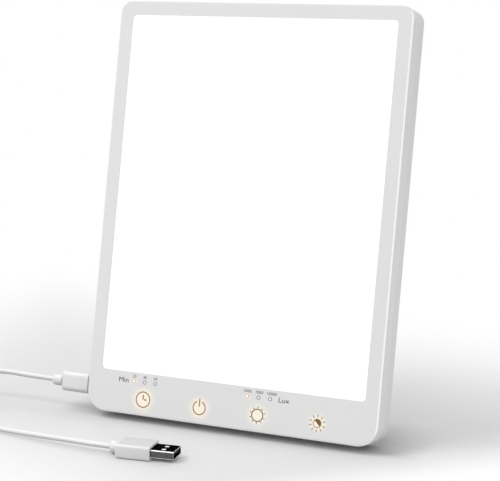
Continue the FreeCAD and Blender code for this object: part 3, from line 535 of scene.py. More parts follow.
cable_white = sheath("cable_white", grey(0.83), (0.87, 0.87, 0.865), (0.28, 0.38),
                     drift=9, fleck=0.5, depth=0.006, shaded=0.6, flat_top=False)
plug_white = sheath("plug_white", grey(0.76), grey(0.80), (0.26, 0.36),
                    drift=7, fleck=0.25, depth=0.003, shaded=0.16, flat_top=True)
tie_white = finish("tie_white", (0.70, 0.70, 0.69), (0.82, 0.82, 0.81), (0.70, 0.90),
                   drift=1.2, fleck=0.35, depth=0.08)
plug_steel = finish("plug_steel", (0.46, 0.46, 0.47), (0.62, 0.62, 0.63), (0.20, 0.32),
                    drift=4, fleck=0.2, depth=0.0015, metal=1.0, stretch=(1, 6, 1))
contact_gold = finish("contact_gold", (0.80, 0.58, 0.26), (0.90, 0.70, 0.36), (0.22, 0.34),
                      drift=1, fleck=0.15, depth=0.001, metal=1.0)
component_black = finish("component_black", (0.010, 0.010, 0.011), (0.028, 0.028, 0.03),
                         (0.42, 0.58), drift=3, fleck=0.2, depth=0.004)
print("lead finishes:", cable_white.name, plug_white.name, plug_steel.name)

# %% [markdown]
# ## Finishes of the inner pieces
#
# The inside may be looked at as well.  Rolled sheet is stretched noise, the circuit board
# carries fine tracks, and the light guide has the rows of dots that send light out.

# %% Inner finishes
reflector_white = finish("reflector_white", grey(0.90), (0.94, 0.94, 0.93),
                         (0.55, 0.65), drift=12, fleck=0.6, depth=0.004)
tray_aluminium = finish("tray_aluminium", (0.74, 0.75, 0.76), (0.84, 0.84, 0.85),
                        (0.28, 0.42), drift=3, fleck=0.3, depth=0.003, metal=1.0,
                        stretch=(0.12, 1, 1))
lead_insulation = finish("lead_insulation", (0.52, 0.030, 0.024), (0.64, 0.045, 0.034),
                         (0.34, 0.44), drift=5, fleck=0.4, depth=0.004)
connector_cream = finish("connector_cream", (0.74, 0.69, 0.56), (0.80, 0.75, 0.63),
                         (0.38, 0.48), drift=3, fleck=0.3, depth=0.003)
spring_steel = finish("spring_steel", (0.50, 0.49, 0.47), (0.64, 0.63, 0.60),
                      (0.22, 0.34), drift=1.4, fleck=0.2, depth=0.001, metal=1.0)
screw_steel = finish("screw_steel", (0.40, 0.41, 0.43), (0.58, 0.59, 0.62),
                     (0.26, 0.40), drift=1.6, fleck=0.15, depth=0.002, metal=1.0)
socket_steel = finish("socket_steel", (0.50, 0.50, 0.51), (0.62, 0.62, 0.63),
                      (0.24, 0.36), drift=3, fleck=0.2, depth=0.001, metal=1.0)
pin_steel = finish("pin_steel", (0.48, 0.48, 0.50), (0.60, 0.60, 0.62),
                   (0.18, 0.30), drift=2, fleck=0.15, depth=0.001, metal=1.0,
                   stretch=(0.2, 1, 1))
foot_rubber = finish("foot_rubber", grey(0.26), (0.34, 0.34, 0.335), (0.78, 0.92),
                     drift=4, fleck=0.35, depth=0.02)
print("metals:", tray_aluminium.name, spring_steel.name, screw_steel.name)

# %% Boards, lights and the light guide
WAVE_BANDS = 3.18  # a wave texture has about this many bands over a length of 1 / scale


def striped(name, low, high, period, stripe, rough, axis="X"):
    """A board's mask with fine tracks across it, which stand a little proud."""
    material, tree, shader = tree_of(name)
    place = place_of(tree)
    wave = node(tree, "TexWave", {"bands_direction": axis}, Vector=place, Distortion=1.5,
                Scale=1 / (period * MM * WAVE_BANDS), Detail=1.0).outputs["Fac"]
    track = spread(tree, wave, 0.0, 1.0, 1 - stripe, 1 - stripe * 0.6)
    slow = noise(tree, place, 9)
    lit = maths(tree, "MULTIPLY", track, spread(tree, slow, 0.2, 1.0))
    feed(shader, "Base Color", between(tree, lit, low, high))
    feed(shader, "Roughness", spread(tree, slow, *rough))
    grain(tree, shader, track, 0.03)
    return material


circuit_board = striped("circuit_board", (0.010, 0.090, 0.035), (0.030, 0.17, 0.065),
                        1.6, 0.5, (0.28, 0.40))
strip_board = striped("strip_board", (0.80, 0.80, 0.78), (0.62, 0.50, 0.34),
                      8.5, 0.25, (0.35, 0.45), axis="Z")
led_package = striped("led_package", (0.82, 0.80, 0.70), (0.90, 0.66, 0.16),
                      1.2, 0.6, (0.30, 0.42), axis="Z")

DOT_SPACING = 1.6  # mm between the light guide's printed dots
clear_acrylic, tree, shader = tree_of("clear_acrylic")
place = place_of(tree)
dots = node(tree, "TexVoronoi", {"feature": "F1"}, Vector=place, Randomness=0.1,
            Scale=1 / (DOT_SPACING * MM)).outputs["Distance"]
dotted = spread(tree, dots, 1.0, 0.0, 0.22, 0.30)
feed(shader, "Base Color", between(tree, dotted, (0.96, 0.98, 0.98), grey(0.90)))
feed(shader, "Roughness", spread(tree, dotted, 0.04, 0.5, 0, 1))
shader.inputs["Transmission Weight"].default_value = 0.9
shader.inputs["IOR"].default_value = 1.49
print("boards and guide:", circuit_board.name, strip_board.name, clear_acrylic.name)

# %% [markdown]
# ## The indicator lights
#
# Six small light pipes end flush in the border.  Two are lit: 20 minutes and the first
# level.  The finish is warm and bright at those two, and pale frosted acrylic elsewhere.

# %% Light pipe finish
PIPE_INSIDE = (0.95, 1.05)  # mm: the frosted end fades into its rim between these
LIT_WITHIN = (3.0, 3.6)  # mm: further out than one light, nearer than the next
indicator_acrylic, tree, shader = tree_of("indicator_acrylic")
place = place_of(tree)
insides, warms = [], []
for x, number in INDICATORS:
    away = away_from(tree, place, x, INDICATOR_HEIGHT)
    insides.append(spread(tree, away, 1.0, 0.0, *[edge * MM for edge in PIPE_INSIDE]))
    if number in LIT:
        warms.append(spread(tree, away, 1.0, 0.0, *[edge * MM for edge in LIT_WITHIN]))
inside, lit = largest(tree, insides), largest(tree, warms)
slow = noise(tree, place, 0.8)
rim = between(tree, slow, HOUSING_LOW, HOUSING_HIGH)
feed(shader, "Base Color", between(tree, inside, rim, (0.92, 0.92, 0.91)))
feed(shader, "Emission Color", between(tree, lit, (1.0, 1.0, 1.0), (1.0, 0.93, 0.76)))
strength = spread(tree, lit, 0.10, 0.30, 0, 1)
feed(shader, "Emission Strength", maths(tree, "MULTIPLY", inside, strength))
feed(shader, "Roughness", spread(tree, slow, 0.25, 0.35))
print("light pipes:", indicator_acrylic.name)

# %% [markdown]
# ## Dressing the CAD nodes
#
# The shapes that are right already stay, and only the finish in their slots changes.

# %% CAD nodes and their finishes
FINISH_OF = {
    "front_frame": border_white, "back_cover": housing_white, "stand": housing_white,
    "diffuser": opal, "light_guide": clear_acrylic, "reflector_sheet": reflector_white,
    "light_tray": tray_aluminium, "led_strip_left": strip_board,
    "led_strip_right": strip_board, "strip_leds_left": led_package,
    "strip_leds_right": led_package, "strip_lead_left": lead_insulation,
    "strip_lead_right": lead_insulation, "main_board": circuit_board,
    "board_parts": component_black, "lead_connectors": connector_cream,
    "touch_springs": spring_steel, "indicator_lights": indicator_acrylic,
    "cover_screws": screw_steel, "tray_screws": screw_steel, "board_screws": screw_steel,
    "power_socket": socket_steel, "socket_tongue": component_black,
    "hinge_pin": pin_steel, "hinge_washers": spring_steel, "foot_left": foot_rubber,
    "foot_right": foot_rubber, "stand_pad": foot_rubber, "lamp_plug_tip": plug_steel,
    "usb_tongue": component_black, "usb_contacts": contact_gold,
}
for name, material in FINISH_OF.items():
    for slot in frame["nodes"][name].material_slots:
        slot.material = material
print(len(FINISH_OF), "nodes keep their shape and get a finish")

# %% [markdown]
# ## Print on the border
#
# Symbols and numbers are drawn flat on the ground plane, and then one turn lays them on
# the leaning face.  They stand a few hundredths of a millimetre proud, as thick print
# does, so that they are real shapes and not paint.

# %% Laying a drawing on the face
PRINT = 0.04  # mm proud of the face


def lay_on_face(piece, x, height):
    """A drawing made flat at the origin goes on the panel's face, at x and height."""
    apply_place(piece)
    piece.rotation_euler = (math.pi / 2 - LEAN, 0, 0)
    piece.location = on_panel(x, 0, height)
    apply_place(piece)


def thicken(piece, thick):
    """A flat drawing becomes a thin plate on its plane."""
    close_up(piece)
    with_modifier(piece, "SOLIDIFY", thickness=thick * MM, offset=1.0)


def stamp(piece, x, height, material, thick=PRINT):
    """A drawing becomes a print of this material on the face."""
    thicken(piece, thick)
    lay_on_face(piece, x, height)
    belongs(piece, material)


def drawn_ring(name, radius, width, corners):
    """A flat ring: a circle, extruded and drawn in."""
    outer, inner = radius + width / 2, radius - width / 2
    ring = begin(name, ops.mesh.primitive_circle_add, vertices=corners,
                 radius=outer * MM, fill_type="NOTHING")
    ops.mesh.select_all(action="SELECT")
    ops.mesh.extrude_edges_move()
    ops.transform.resize(value=(inner / outer, inner / outer, 1))
    ops.object.mode_set(mode="OBJECT")
    return ring


def drawn_bar(name, width, start, end, angle):
    """A flat bar with round ends that points away from the origin at this angle."""
    bar = begin(name, ops.mesh.primitive_plane_add, size=1.0)
    ops.transform.resize(value=((end - start) * MM, width * MM, 1))
    ops.transform.translate(value=((start + end) / 2 * MM, 0, 0))
    ops.mesh.select_all(action="SELECT")
    ops.mesh.bevel(offset=width * 0.42 * MM, segments=3, affect="VERTICES")
    ops.object.mode_set(mode="OBJECT")
    bar.rotation_euler = (0, 0, math.radians(angle))
    apply_place(bar)
    return bar


print("print stands", PRINT, "mm proud")

# %% [markdown]
# ## The four keys
#
# The clock is a ring with two hands.  The power symbol is a ring with a gap at its top
# and a bar in it.  The sun is a ring with ten short ticks.  The second sun is smaller,
# with ten rays, and its upper right half is filled.

# %% Inks
SYMBOL_ROUGH, TEXT_ROUGH = (0.45, 0.6), (0.5, 0.65)


def ink(name, low, high, rough, drift):
    """A printed finish with a very fine grain."""
    return finish(name, low, high, rough, drift, fleck=0.2, depth=0.002)


key_ink = ink("key_ink", (0.25, 0.145, 0.036), (0.31, 0.185, 0.056), SYMBOL_ROUGH, 2)
sun_ink = ink("sun_ink", (0.15, 0.105, 0.045), (0.21, 0.15, 0.07), SYMBOL_ROUGH, 1)
half_ink = ink("half_sun_ink", (0.15, 0.075, 0.014), (0.22, 0.12, 0.030), SYMBOL_ROUGH, 1)
number_ink = ink("number_ink", grey(0.055), grey(0.09), TEXT_ROUGH, 1)
unit_ink = ink("unit_ink", grey(0.012), grey(0.025), TEXT_ROUGH, 1)
print("inks:", key_ink.name, number_ink.name, unit_ink.name)

# %% Clock
RING_LINE, HAND_LINE = 0.62, 0.74  # mm wide
x, height, radius = KEYS["clock"]
clock = joined("clock_symbol", [
    drawn_ring("clock_ring", radius, RING_LINE, 64),
    drawn_bar("minute_hand", HAND_LINE, start=0.1, end=2.9, angle=90),
    drawn_bar("hour_hand", HAND_LINE, start=0.5, end=2.3, angle=0)])
stamp(clock, x, height, key_ink)
print(clock.name, "has", len(clock.data.polygons), "faces")

# %% Power
POWER_GAP = 24  # degrees to each side of the top
POWER_BAR = 0.66  # mm wide
x, height, radius = KEYS["power"]
power_ring = drawn_ring("power_ring", radius, RING_LINE, 60)
take(power_ring)
ops.object.mode_set(mode="EDIT")
pick("FACE", lambda face: abs(math.degrees(math.atan2(
    face.calc_center_median().x, face.calc_center_median().y))) < POWER_GAP)
ops.mesh.delete(type="FACE")
ops.object.mode_set(mode="OBJECT")
power = joined("power_symbol", [
    power_ring, drawn_bar("power_bar", POWER_BAR, start=0.7, end=5.4, angle=90)])
stamp(power, x, height, key_ink)
print(power.name, "has", len(power.data.polygons), "faces")

# %% Sun
RAYS, FIRST_RAY = 10, 88  # the first is nearly upright
TICK_LINE, TICK_GAP, TICK_END = 0.42, 0.45, 4.9  # mm


def drawn_rays(width, start, end):
    """Bars all round the origin, at equal angles."""
    return [drawn_bar(f"ray_{ray}", width, start, end, FIRST_RAY + ray * 360 / RAYS)
            for ray in range(RAYS)]


x, height, radius = KEYS["sun"]
sun = joined("sun_symbol", [drawn_ring("sun_ring", radius, RING_LINE, 60),
                            *drawn_rays(TICK_LINE, radius + TICK_GAP, TICK_END)])
stamp(sun, x, height, sun_ink)
print(sun.name, "has", len(sun.data.polygons), "faces")

# %% Half-filled sun
THIN_RING_LINE, RAY_LINE, RAY_START, RAY_END = 0.42, 0.40, 3.3, 5.0  # mm
x, height, radius = KEYS["half_sun"]
half_sun = joined("half_sun_symbol", [drawn_ring("half_ring", radius, THIN_RING_LINE, 48),
                                      *drawn_rays(RAY_LINE, RAY_START, RAY_END)])
stamp(half_sun, x, height, key_ink)

filled = begin("half_sun_fill", ops.mesh.primitive_circle_add, vertices=48,
               radius=(radius + 0.1) * MM, fill_type="NGON")
ops.mesh.select_all(action="SELECT")
ops.mesh.bisect(plane_co=(0, 0, 0), plane_no=(1, 1, 0), clear_inner=True)
ops.object.mode_set(mode="OBJECT")
stamp(filled, x, height, half_ink, PRINT * 0.9)  # thinner than the ring it overlaps
print(half_sun.name, "and its filled half")

# %% [markdown]
# ## The rings of the indicators
#
# Each light pipe has a thin printed ring round it: grey, and amber where it is lit, a
# painted glow.  The ring is drawn once and copied.

# %% Indicator rings
LIGHT_RING, LIGHT_RING_LINE = 0.94, 0.36  # mm: radius and width
ring_grey = ink("ring_grey", grey(0.085), grey(0.13), SYMBOL_ROUGH, 0.8)
# The lit rings are amber: a painted glow of the light behind them.
ring_amber = ink("ring_amber", (0.56, 0.43, 0.18), (0.66, 0.52, 0.25), SYMBOL_ROUGH, 0.8)
first_ring = drawn_ring("indicator_ring", LIGHT_RING, LIGHT_RING_LINE, 32)
thicken(first_ring, PRINT)
for x, number in INDICATORS:
    ring = first_ring.copy()
    ring.data = first_ring.data.copy()
    ring.name = ring.data.name = f"indicator_ring_{number}"
    scene.collection.objects.link(ring)
    lay_on_face(ring, x, INDICATOR_HEIGHT)
    belongs(ring, ring_amber if number in LIT else ring_grey)
bpy.data.objects.remove(first_ring)
print(len(INDICATORS), "rings")

# %% [markdown]
# ## Numbers and units
#
# The numbers stand over their lights, and the units beside them.  Text starts as a font
# curve, becomes a mesh, and is laid on the face like the symbols.

# %% Text
NUMBER_X = {"20": -59.7, "40": -52.9, "60": -46.0,
            "5000": 12.2, "7000": 19.3, "10000": 26.9}
NUMBER_HEIGHT = 22.3  # on the face
NUMBER_TALL, UNIT_TALL = 1.6, 2.7
DIGIT_STEP, DIGIT_GAP = 1.22, 0.2


def printed(name, words, tall, width, x, height, material):
    """Words drawn this tall and wide, in mm, and laid on the face at x and height."""
    deselect()
    ops.object.text_add()
    text = bpy.context.object
    text.data.body = words
    text.data.align_x, text.data.align_y = "CENTER", "CENTER"
    text.data.size = 1.0
    text.data.resolution_u = 4
    ops.object.convert(target="MESH")
    text = bpy.context.object
    text.name = text.data.name = name
    places = [v.co for v in text.data.vertices]
    low = Vector((min(p.x for p in places), min(p.y for p in places), 0))
    high = Vector((max(p.x for p in places), max(p.y for p in places), 0))
    stretch = width * MM / (high.x - low.x)
    text.scale = (stretch, tall * MM / (high.y - low.y), 1)
    middle = (low + high) / 2
    text.location = (-middle.x * text.scale.x, -middle.y * text.scale.y, 0)
    apply_place(text)
    stamp(text, x, height, material)


for number, x in NUMBER_X.items():
    printed(f"number_{number}", number, NUMBER_TALL, DIGIT_STEP * len(number) - DIGIT_GAP,
            x, NUMBER_HEIGHT, number_ink)
printed("unit_minutes", "Min", UNIT_TALL, 6.2, -66.5, 19.6, unit_ink)
printed("unit_lux", "Lux", UNIT_TALL, 6.4, 34.5, 19.5, unit_ink)
print(len(NUMBER_X), "numbers and 2 units")

# %% [markdown]
# ## The lamp's plug
#
# A flat moulding with round sides, then a short round neck that holds the cable.  The
# moulding starts as a block.  Its long edges and its far end get wide bevels, its front
# a narrow one, and two insets sink the front a little.

# %% Moulding of the lamp's plug
TO_LEFT = Vector((-1, 0, 0))
END_SOFTNESS, FRONT_SOFTNESS = 1.6, 0.35  # mm
FRONT_SLOPE, FRONT_SUNK = 0.25, 0.35  # mm


def stand_along(piece, start, direction, up):
    """A piece made along +Z from the origin now runs from start along direction, and its
    own +X points as nearly as it can along up."""
    z = direction.normalized()
    y = z.cross(up).normalized()
    x = y.cross(z)
    piece.matrix_world = Matrix.Translation(start) @ Matrix((x, y, z)).transposed().to_4x4()
    apply_place(piece)


def moulding(name, wide, thick, long, edge, rim):
    """A plug's moulding along +Z, wide along X and thick along Y.  Its long edges are
    rounded by `edge`, and a rim this wide stands round its sunk front."""
    body = block(name, (wide, thick, long), (0, 0, long / 2))
    pick("EDGE", lambda e: abs(e.verts[0].co.z - e.verts[1].co.z) > long / 2 * MM)
    ops.mesh.bevel(offset=edge * MM, segments=8, profile=0.5, affect="EDGES")
    pick("FACE", lambda f: f.normal.z > 0.999)
    ops.mesh.bevel(offset=END_SOFTNESS * MM, segments=4, affect="EDGES")
    pick("FACE", lambda f: f.normal.z < -0.999)
    ops.mesh.bevel(offset=FRONT_SOFTNESS * MM, segments=2, affect="EDGES")
    pick("FACE", lambda f: f.normal.z < -0.999)
    ops.mesh.inset(thickness=rim * MM, depth=0)
    ops.mesh.inset(thickness=FRONT_SLOPE * MM, depth=-FRONT_SUNK * MM)
    ops.object.mode_set(mode="OBJECT")
    close_up(body)
    smooth(body)
    return body


PLUG_AXIS = on_panel(0, 7.8, 13.8)
PLUG_START, PLUG_LONG = -93.0 * MM, 18.0  # the end towards the lamp, and mm from it
panel_up = Vector((0, math.sin(LEAN), math.cos(LEAN)))

plug_body = moulding("lamp_plug_moulding", wide=12.0, thick=6.5, long=PLUG_LONG, edge=3.0,
                     rim=0.9)
stand_along(plug_body, Vector((PLUG_START, PLUG_AXIS.y, PLUG_AXIS.z)), TO_LEFT, panel_up)
belongs(plug_body, plug_white, stands_for=("lamp_plug_body",))
print(plug_body.name, [round(v / MM, 2) for v in plug_body.dimensions])

# %% [markdown]
# ## The necks
#
# The neck of each plug grips the cable.  It starts as a circle and grows along the cable
# in short steps, each extruded and scaled a little: a full collar with soft shoulders,
# then a short taper down to the cable.

# %% Necks
def neck(name, steps, start, direction, up):
    """A closed round shape whose radius follows the steps (place along, radius), in mm."""
    first_place, first_radius = steps[0]
    collar = begin(name, ops.mesh.primitive_circle_add, vertices=48,
                   radius=first_radius * MM, fill_type="NGON",
                   location=(0, 0, first_place * MM))
    ops.mesh.select_all(action="SELECT")
    for (place, radius), (last_place, last_radius) in zip(steps[1:], steps):
        ops.mesh.extrude_region_move(
            TRANSFORM_OT_translate={"value": (0, 0, (place - last_place) * MM)})
        ops.transform.resize(value=(radius / last_radius, radius / last_radius, 1))
    ops.object.mode_set(mode="OBJECT")
    close_up(collar)
    smooth(collar, 28)
    stand_along(collar, start, direction, up)
    return collar


lamp_neck = neck("lamp_plug_collar",
                 ((-0.2, 3.1), (0.15, 3.15), (0.5, 3.45), (0.9, 3.5), (4.4, 3.5),
                  (5.2, 3.4), (5.8, 3.1), (6.2, 2.7), (6.5, 2.1), (6.6, 1.62)),
                 Vector((PLUG_START - PLUG_LONG * MM, PLUG_AXIS.y, PLUG_AXIS.z)), TO_LEFT,
                 panel_up)
belongs(lamp_neck, plug_white, stands_for=("lamp_plug_neck",))
print(lamp_neck.name, [round(v / MM, 2) for v in lamp_neck.dimensions])

# %% [markdown]
# ## The USB plug
#
# Its moulding and collar are made like the other plug's.  The moulding lies on the
# table, so the shell in it floats a little above the table.  The shell's black tongue
# and its contacts come from the CAD.

# %% USB moulding and neck
USB_TIP = Vector((-5.6, -93.519, 4.05)) * MM
USB_TURN = math.radians(7)
USB_BACK = Vector((-math.cos(USB_TURN), -math.sin(USB_TURN), 0))
SHELL_SHOWN, USB_BODY = 13.2, 20.2
across_usb = Vector((-math.sin(USB_TURN), math.cos(USB_TURN), 0))

usb_moulding = moulding("usb_moulding", wide=15.4, thick=8.1, long=USB_BODY, edge=1.5,
                        rim=1.0)
stand_along(usb_moulding, USB_TIP + USB_BACK * SHELL_SHOWN * MM, USB_BACK, across_usb)
belongs(usb_moulding, plug_white, stands_for=("usb_body",))

usb_collar = neck("usb_collar",
                  ((-0.2, 3.3), (0.25, 3.35), (0.6, 3.75), (1.0, 3.85), (2.8, 3.85),
                   (3.5, 3.7), (4.1, 3.3), (4.5, 2.7), (4.75, 2.1), (4.8, 1.62)),
                  USB_TIP + USB_BACK * (SHELL_SHOWN + USB_BODY) * MM, USB_BACK, across_usb)
belongs(usb_collar, plug_white, stands_for=("usb_neck",))
print(usb_moulding.name, [round(v / MM, 2) for v in usb_moulding.dimensions])

# %% [markdown]
# ## The USB shell
#
# The shell is folded from thin steel.  It starts as a block: its long edges are rounded,
# its mouth is inset by the sheet's thickness and pushed in, and two square latch holes
# are cut through its top and bottom.  The broad faces are dark brushed steel, darker on
# top by a painted reflection.  The rounded edges and the mouth carry a painted highlight.

# %% Shell finishes
rim_steel = finish("rim_steel", (0.88, 0.88, 0.89), (0.95, 0.95, 0.96), (0.28, 0.40),
                   drift=3, fleck=0.2, depth=0.001, metal=1.0)
shell_steel, tree, shader = tree_of("shell_steel")
place = place_of(tree, (1, 5, 1))
slow = noise(tree, place, 3, 3)
# The top faces are darker than the sides: a painted reflection.
upward = parts_of(tree, node(tree, "NewGeometry").outputs["Normal"])[2]
top_reflection_mask = spread(tree, upward, 0.0, 1.0, 0.5, 0.9)
side_steel = between(tree, slow, (0.085, 0.085, 0.087), (0.14, 0.14, 0.143))
top_painted_reflection = between(tree, slow, grey(0.012), (0.045, 0.043, 0.040))
feed(shader, "Base Color", between(tree, top_reflection_mask, side_steel, top_painted_reflection))
feed(shader, "Roughness", spread(tree, slow, 0.22, 0.36))
grain(tree, shader, noise(tree, place, 0.2), 0.0015)
shader.inputs["Metallic"].default_value = 1.0
shader.inputs["Specular Tint"].default_value = (0.3, 0.3, 0.3, 1)
print("shell finishes:", rim_steel.name, shell_steel.name)

# %% USB shell
SHELL_WIDE, SHELL_THICK, SHELL_WALL, SHELL_CORNER = 12.0, 4.5, 0.32, 0.5
SHELL_HIDDEN, MOUTH_DEEP = 1.0, 12.0
HOLE, HOLE_SPACING, HOLE_SETBACK = 2.4, 5.0, 6.6
CUTTER_TALL = 9.0  # more than the shell, so that it cuts the top and the bottom
shell_long = SHELL_SHOWN + SHELL_HIDDEN
shell = block("usb_steel_shell", (SHELL_WIDE, SHELL_THICK, shell_long),
              (0, 0, shell_long / 2))
pick("EDGE", lambda e: abs(e.verts[0].co.z - e.verts[1].co.z) > shell_long / 2 * MM)
ops.mesh.bevel(offset=SHELL_CORNER * MM, segments=4, profile=0.5, affect="EDGES")
pick("FACE", lambda f: f.normal.z < -0.999)
ops.mesh.inset(thickness=SHELL_WALL * MM, depth=0)
ops.mesh.extrude_region_move(TRANSFORM_OT_translate={"value": (0, 0, MOUTH_DEEP * MM)})
ops.object.mode_set(mode="OBJECT")
close_up(shell)
for side in (-1, 1):
    cutter = block("hole_cutter", (HOLE, CUTTER_TALL, HOLE),
                   (side * HOLE_SPACING / 2, 0, HOLE_SETBACK))
    ops.object.mode_set(mode="OBJECT")
    with_modifier(shell, "BOOLEAN", object=cutter, operation="DIFFERENCE", solver="EXACT")
    bpy.data.objects.remove(cutter)
close_up(shell)
smooth(shell, 30)
belongs(shell, shell_steel, stands_for=("usb_shell",))
# The rounded outer edges and the mouth get the bright steel: a painted highlight.
shell.data.materials.append(rim_steel)
painted_bright = 0
for face in shell.data.polygons:
    straight = max(abs(face.normal.x), abs(face.normal.y)) > 0.999
    outer = abs(face.center.x) > 5.4 * MM or abs(face.center.y) > 1.9 * MM
    at_mouth = face.normal.z < -0.9 and face.center.z < 0.1 * MM
    if at_mouth or (outer and not straight and abs(face.normal.z) < 0.1):
        face.material_index = 1
        painted_bright += 1
stand_along(shell, USB_TIP, USB_BACK, across_usb)
print(shell.name, "has", painted_bright, "polished faces")

# %% [markdown]
# A latch spring shows in each hole: a thin leaf a little under the shell's outer face,
# whose middle an inset raises.

# %% Latch springs
LEAF = (2.2, 0.12, 2.3)
LEAF_INSET, LEAF_RAISED, LEAF_OUT = 0.3, 0.05, 2.08  # mm
springs = []
for side in (-1, 1):
    for face_side in (-1, 1):
        spring = block("spring", LEAF, (side * HOLE_SPACING / 2, face_side * LEAF_OUT,
                                        HOLE_SETBACK))
        pick("FACE", lambda f: abs(f.normal.y) > 0.9)
        ops.mesh.inset(thickness=LEAF_INSET * MM, depth=LEAF_RAISED * MM)
        ops.object.mode_set(mode="OBJECT")
        springs.append(spring)
latch = joined("usb_latch_springs", springs)
stand_along(latch, USB_TIP, USB_BACK, across_usb)
# The springs take the bright steel of the painted highlight too.
belongs(latch, rim_steel)
print(latch.name, "shows in 4 holes")

# %% [markdown]
# ## The tie of the coil
#
# A soft hook-and-loop strap is wrapped round the bundle.  It starts as a tube round the
# coil's bundle, gets a wall, and its edges are rounded.  It rests flat on the table.

# %% Coil tie
TIE_TURN = math.radians(60)  # its place round the coil
TIE_RADIUS, TIE_WIDE, TIE_THICK, TIE_SOFTNESS = 4.75, 6.0, 0.7, 0.2
TABLE_GAP = 0.02
tie = begin("coil_tie_strap", ops.mesh.primitive_cylinder_add, vertices=40,
            radius=TIE_RADIUS * MM, depth=TIE_WIDE * MM, end_fill_type="NOTHING")
ops.mesh.select_all(action="SELECT")
ops.mesh.subdivide(number_cuts=2)
ops.object.mode_set(mode="OBJECT")
close_up(tie)
with_modifier(tie, "SOLIDIFY", thickness=TIE_THICK * MM, offset=1.0)
with_modifier(tie, "BEVEL", width=TIE_SOFTNESS * MM, segments=2, limit_method="ANGLE")
smooth(tie)
from_middle = Vector((math.cos(TIE_TURN), math.sin(TIE_TURN), 0))
along_cable = Vector((-math.sin(TIE_TURN), math.cos(TIE_TURN), 0))
tie_at = COIL_MIDDLE * MM + from_middle * COIL_RADIUS * MM
stand_along(tie, tie_at, along_cable, Vector((0, 0, 1)))
for vertex in tie.data.vertices:
    vertex.co.z = max(vertex.co.z, TABLE_GAP * MM)
belongs(tie, tie_white, stands_for=("coil_tie",))
print(tie.name, "stands at", [round(v / MM, 1) for v in tie_at])

# %% [markdown]
# The lead is one cord, which leaves the lamp where its route starts.  Its two plugs
# and the tie go with it.

lead_curve.materials.append(cable_white)
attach(lead, "lamp")
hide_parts("lamp_cable", "cable_coil", "usb_cable")
print("the lead carries its two plugs and its tie")

# %% [markdown]
# ## Floor, world and lights
#
# The photograph has a white studio ground: pale near the lamp, with a broad soft shadow
# behind it to the right, and pure white further away.  The floor's finish turns from a
# matt paper near the lamp into a ground that the camera sees as white, and is greyer
# under the lamp.

# %% Floor finish
# The paper is grey under the lamp and at its lower corners: a painted shadow.
PAINTED_SHADOW_UNDER_LAMP = grey(0.5)
# A direction over the floor, and where the paper starts and ends turning white, in m.
FLOOR_FADES = (((0.15, 1.0, 0), 0.005, 0.28), ((1.0, -1.0, 0), 0.13, 0.20),
               ((-0.4, -1.0, 0), 0.092, 0.220), ((-1.0, 0.0, 0), 0.15, 0.35))


def seen_directly(tree):
    """1 for what the camera sees, itself or in a reflection or through clear plastic,
    and 0 for the light that falls on things."""
    path = node(tree, "LightPath").outputs
    return largest(tree, [path["Is Camera Ray"], path["Is Glossy Ray"],
                          path["Is Transmission Ray"]])


floor_paper, tree, shader = tree_of("floor_paper")
place = place_of(tree)
slow = noise(tree, place, 300, 2)
paper = between(tree, slow, grey(0.835), grey(0.85))
x, y, _ = parts_of(tree, place)
across = spread(tree, maths(tree, "ABSOLUTE", x), 1.0, 0.0, 0.084, 0.114)
behind_edge = maths(tree, "MULTIPLY", spread(tree, y, 0.0, 1.0, -0.045, -0.037),
                    spread(tree, y, 1.0, 0.0, -0.02, 0.02))
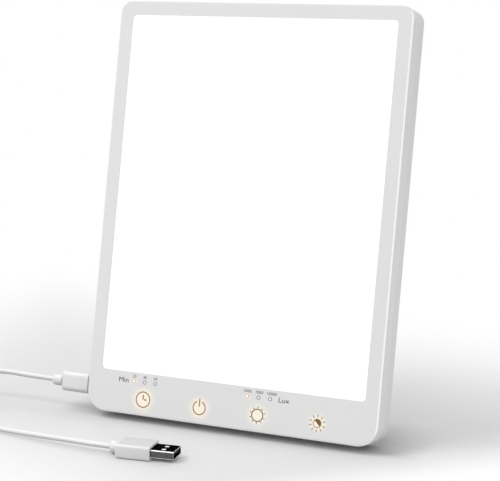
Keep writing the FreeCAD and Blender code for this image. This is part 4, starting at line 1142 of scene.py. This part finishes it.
# Where the painted shadow lies: under the lamp, a little wider than it.
painted_shadow_mask = maths(tree, "MULTIPLY", across, behind_edge)
feed(shader, "Base Color", between(tree, painted_shadow_mask, paper, PAINTED_SHADOW_UNDER_LAMP))
shader.inputs["Roughness"].default_value = 0.85
shader.inputs["Specular IOR Level"].default_value = 0.1
fades = []
for direction, start, end in FLOOR_FADES:
    along = node(tree, "VectorMath", {"operation": "DOT_PRODUCT"}, _0=place,
                 _1=direction).outputs["Value"]
    fades.append(node(tree, "MapRange", {"interpolation_type": "SMOOTHSTEP"}, Value=along,
                      _1=start, _2=end, _3=0.0, _4=1.0).outputs[0])
whiter = maths(tree, "MULTIPLY", seen_directly(tree), largest(tree, fades))
white = node(tree, "Emission", Color=(1, 1, 1, 1), Strength=1.0)
mixed = node(tree, "MixShader", _0=whiter, _1=shader.outputs[0], _2=white.outputs[0])
tree.links.new(mixed.outputs[0], tree.nodes["Material Output"].inputs["Surface"])
print("floor finish:", floor_paper.name, "with", len(fades), "fades")

# %% Floor
FLOOR_SIZE = 9  # m
floor = begin("floor", ops.mesh.primitive_plane_add, size=1.0)
ops.transform.resize(value=(FLOOR_SIZE, FLOOR_SIZE, 1))
ops.mesh.select_all(action="SELECT")
ops.mesh.subdivide(number_cuts=5)
ops.object.mode_set(mode="OBJECT")
floor.data.materials.append(floor_paper)
print("floor is", floor.dimensions.x, "m wide")

# %% [markdown]
# The world gives even light, and is plain white to the camera and in reflections.

# %% World
WORLD_LEVEL = 0.72
world = bpy.data.worlds.new("studio")
scene.world = world
world.use_nodes = True
tree = world.node_tree
tree.nodes.clear()
even = node(tree, "Background", Color=(1, 1, 1, 1), Strength=WORLD_LEVEL)
bright = node(tree, "Background", Color=(1, 1, 1, 1), Strength=1.0)
chosen = node(tree, "MixShader", _0=seen_directly(tree), _1=even.outputs[0],
              _2=bright.outputs[0])
output = node(tree, "OutputWorld")
tree.links.new(chosen.outputs[0], output.inputs["Surface"])
print("world at", WORLD_LEVEL)

# %% [markdown]
# Three large soft lights look at the lamp's middle: the key light at the front left, a
# weak one in front and one behind.

# %% Lights
AIM = (0, 0, 0.1)


def soft_light(name, place, size, power):
    """A soft round light, so many metres across and so many watts."""
    light = bpy.data.lights.new(name, "AREA")
    light.shape, light.size, light.energy = "DISK", size, power
    lamp = bpy.data.objects.new(name, light)
    scene.collection.objects.link(lamp)
    lamp.location = place
    lamp.rotation_euler = (Vector(AIM) - Vector(place)).to_track_quat("-Z", "Y").to_euler()


soft_light("key_light", (-1.1, -1.0, 1.9), 0.9, 11.7)
soft_light("front_light", (0.2, -2.2, 0.9), 1.0, 2.2)
soft_light("back_light", (-1.0, 1.3, 1.7), 0.8, 3.1)
print("lights are set")
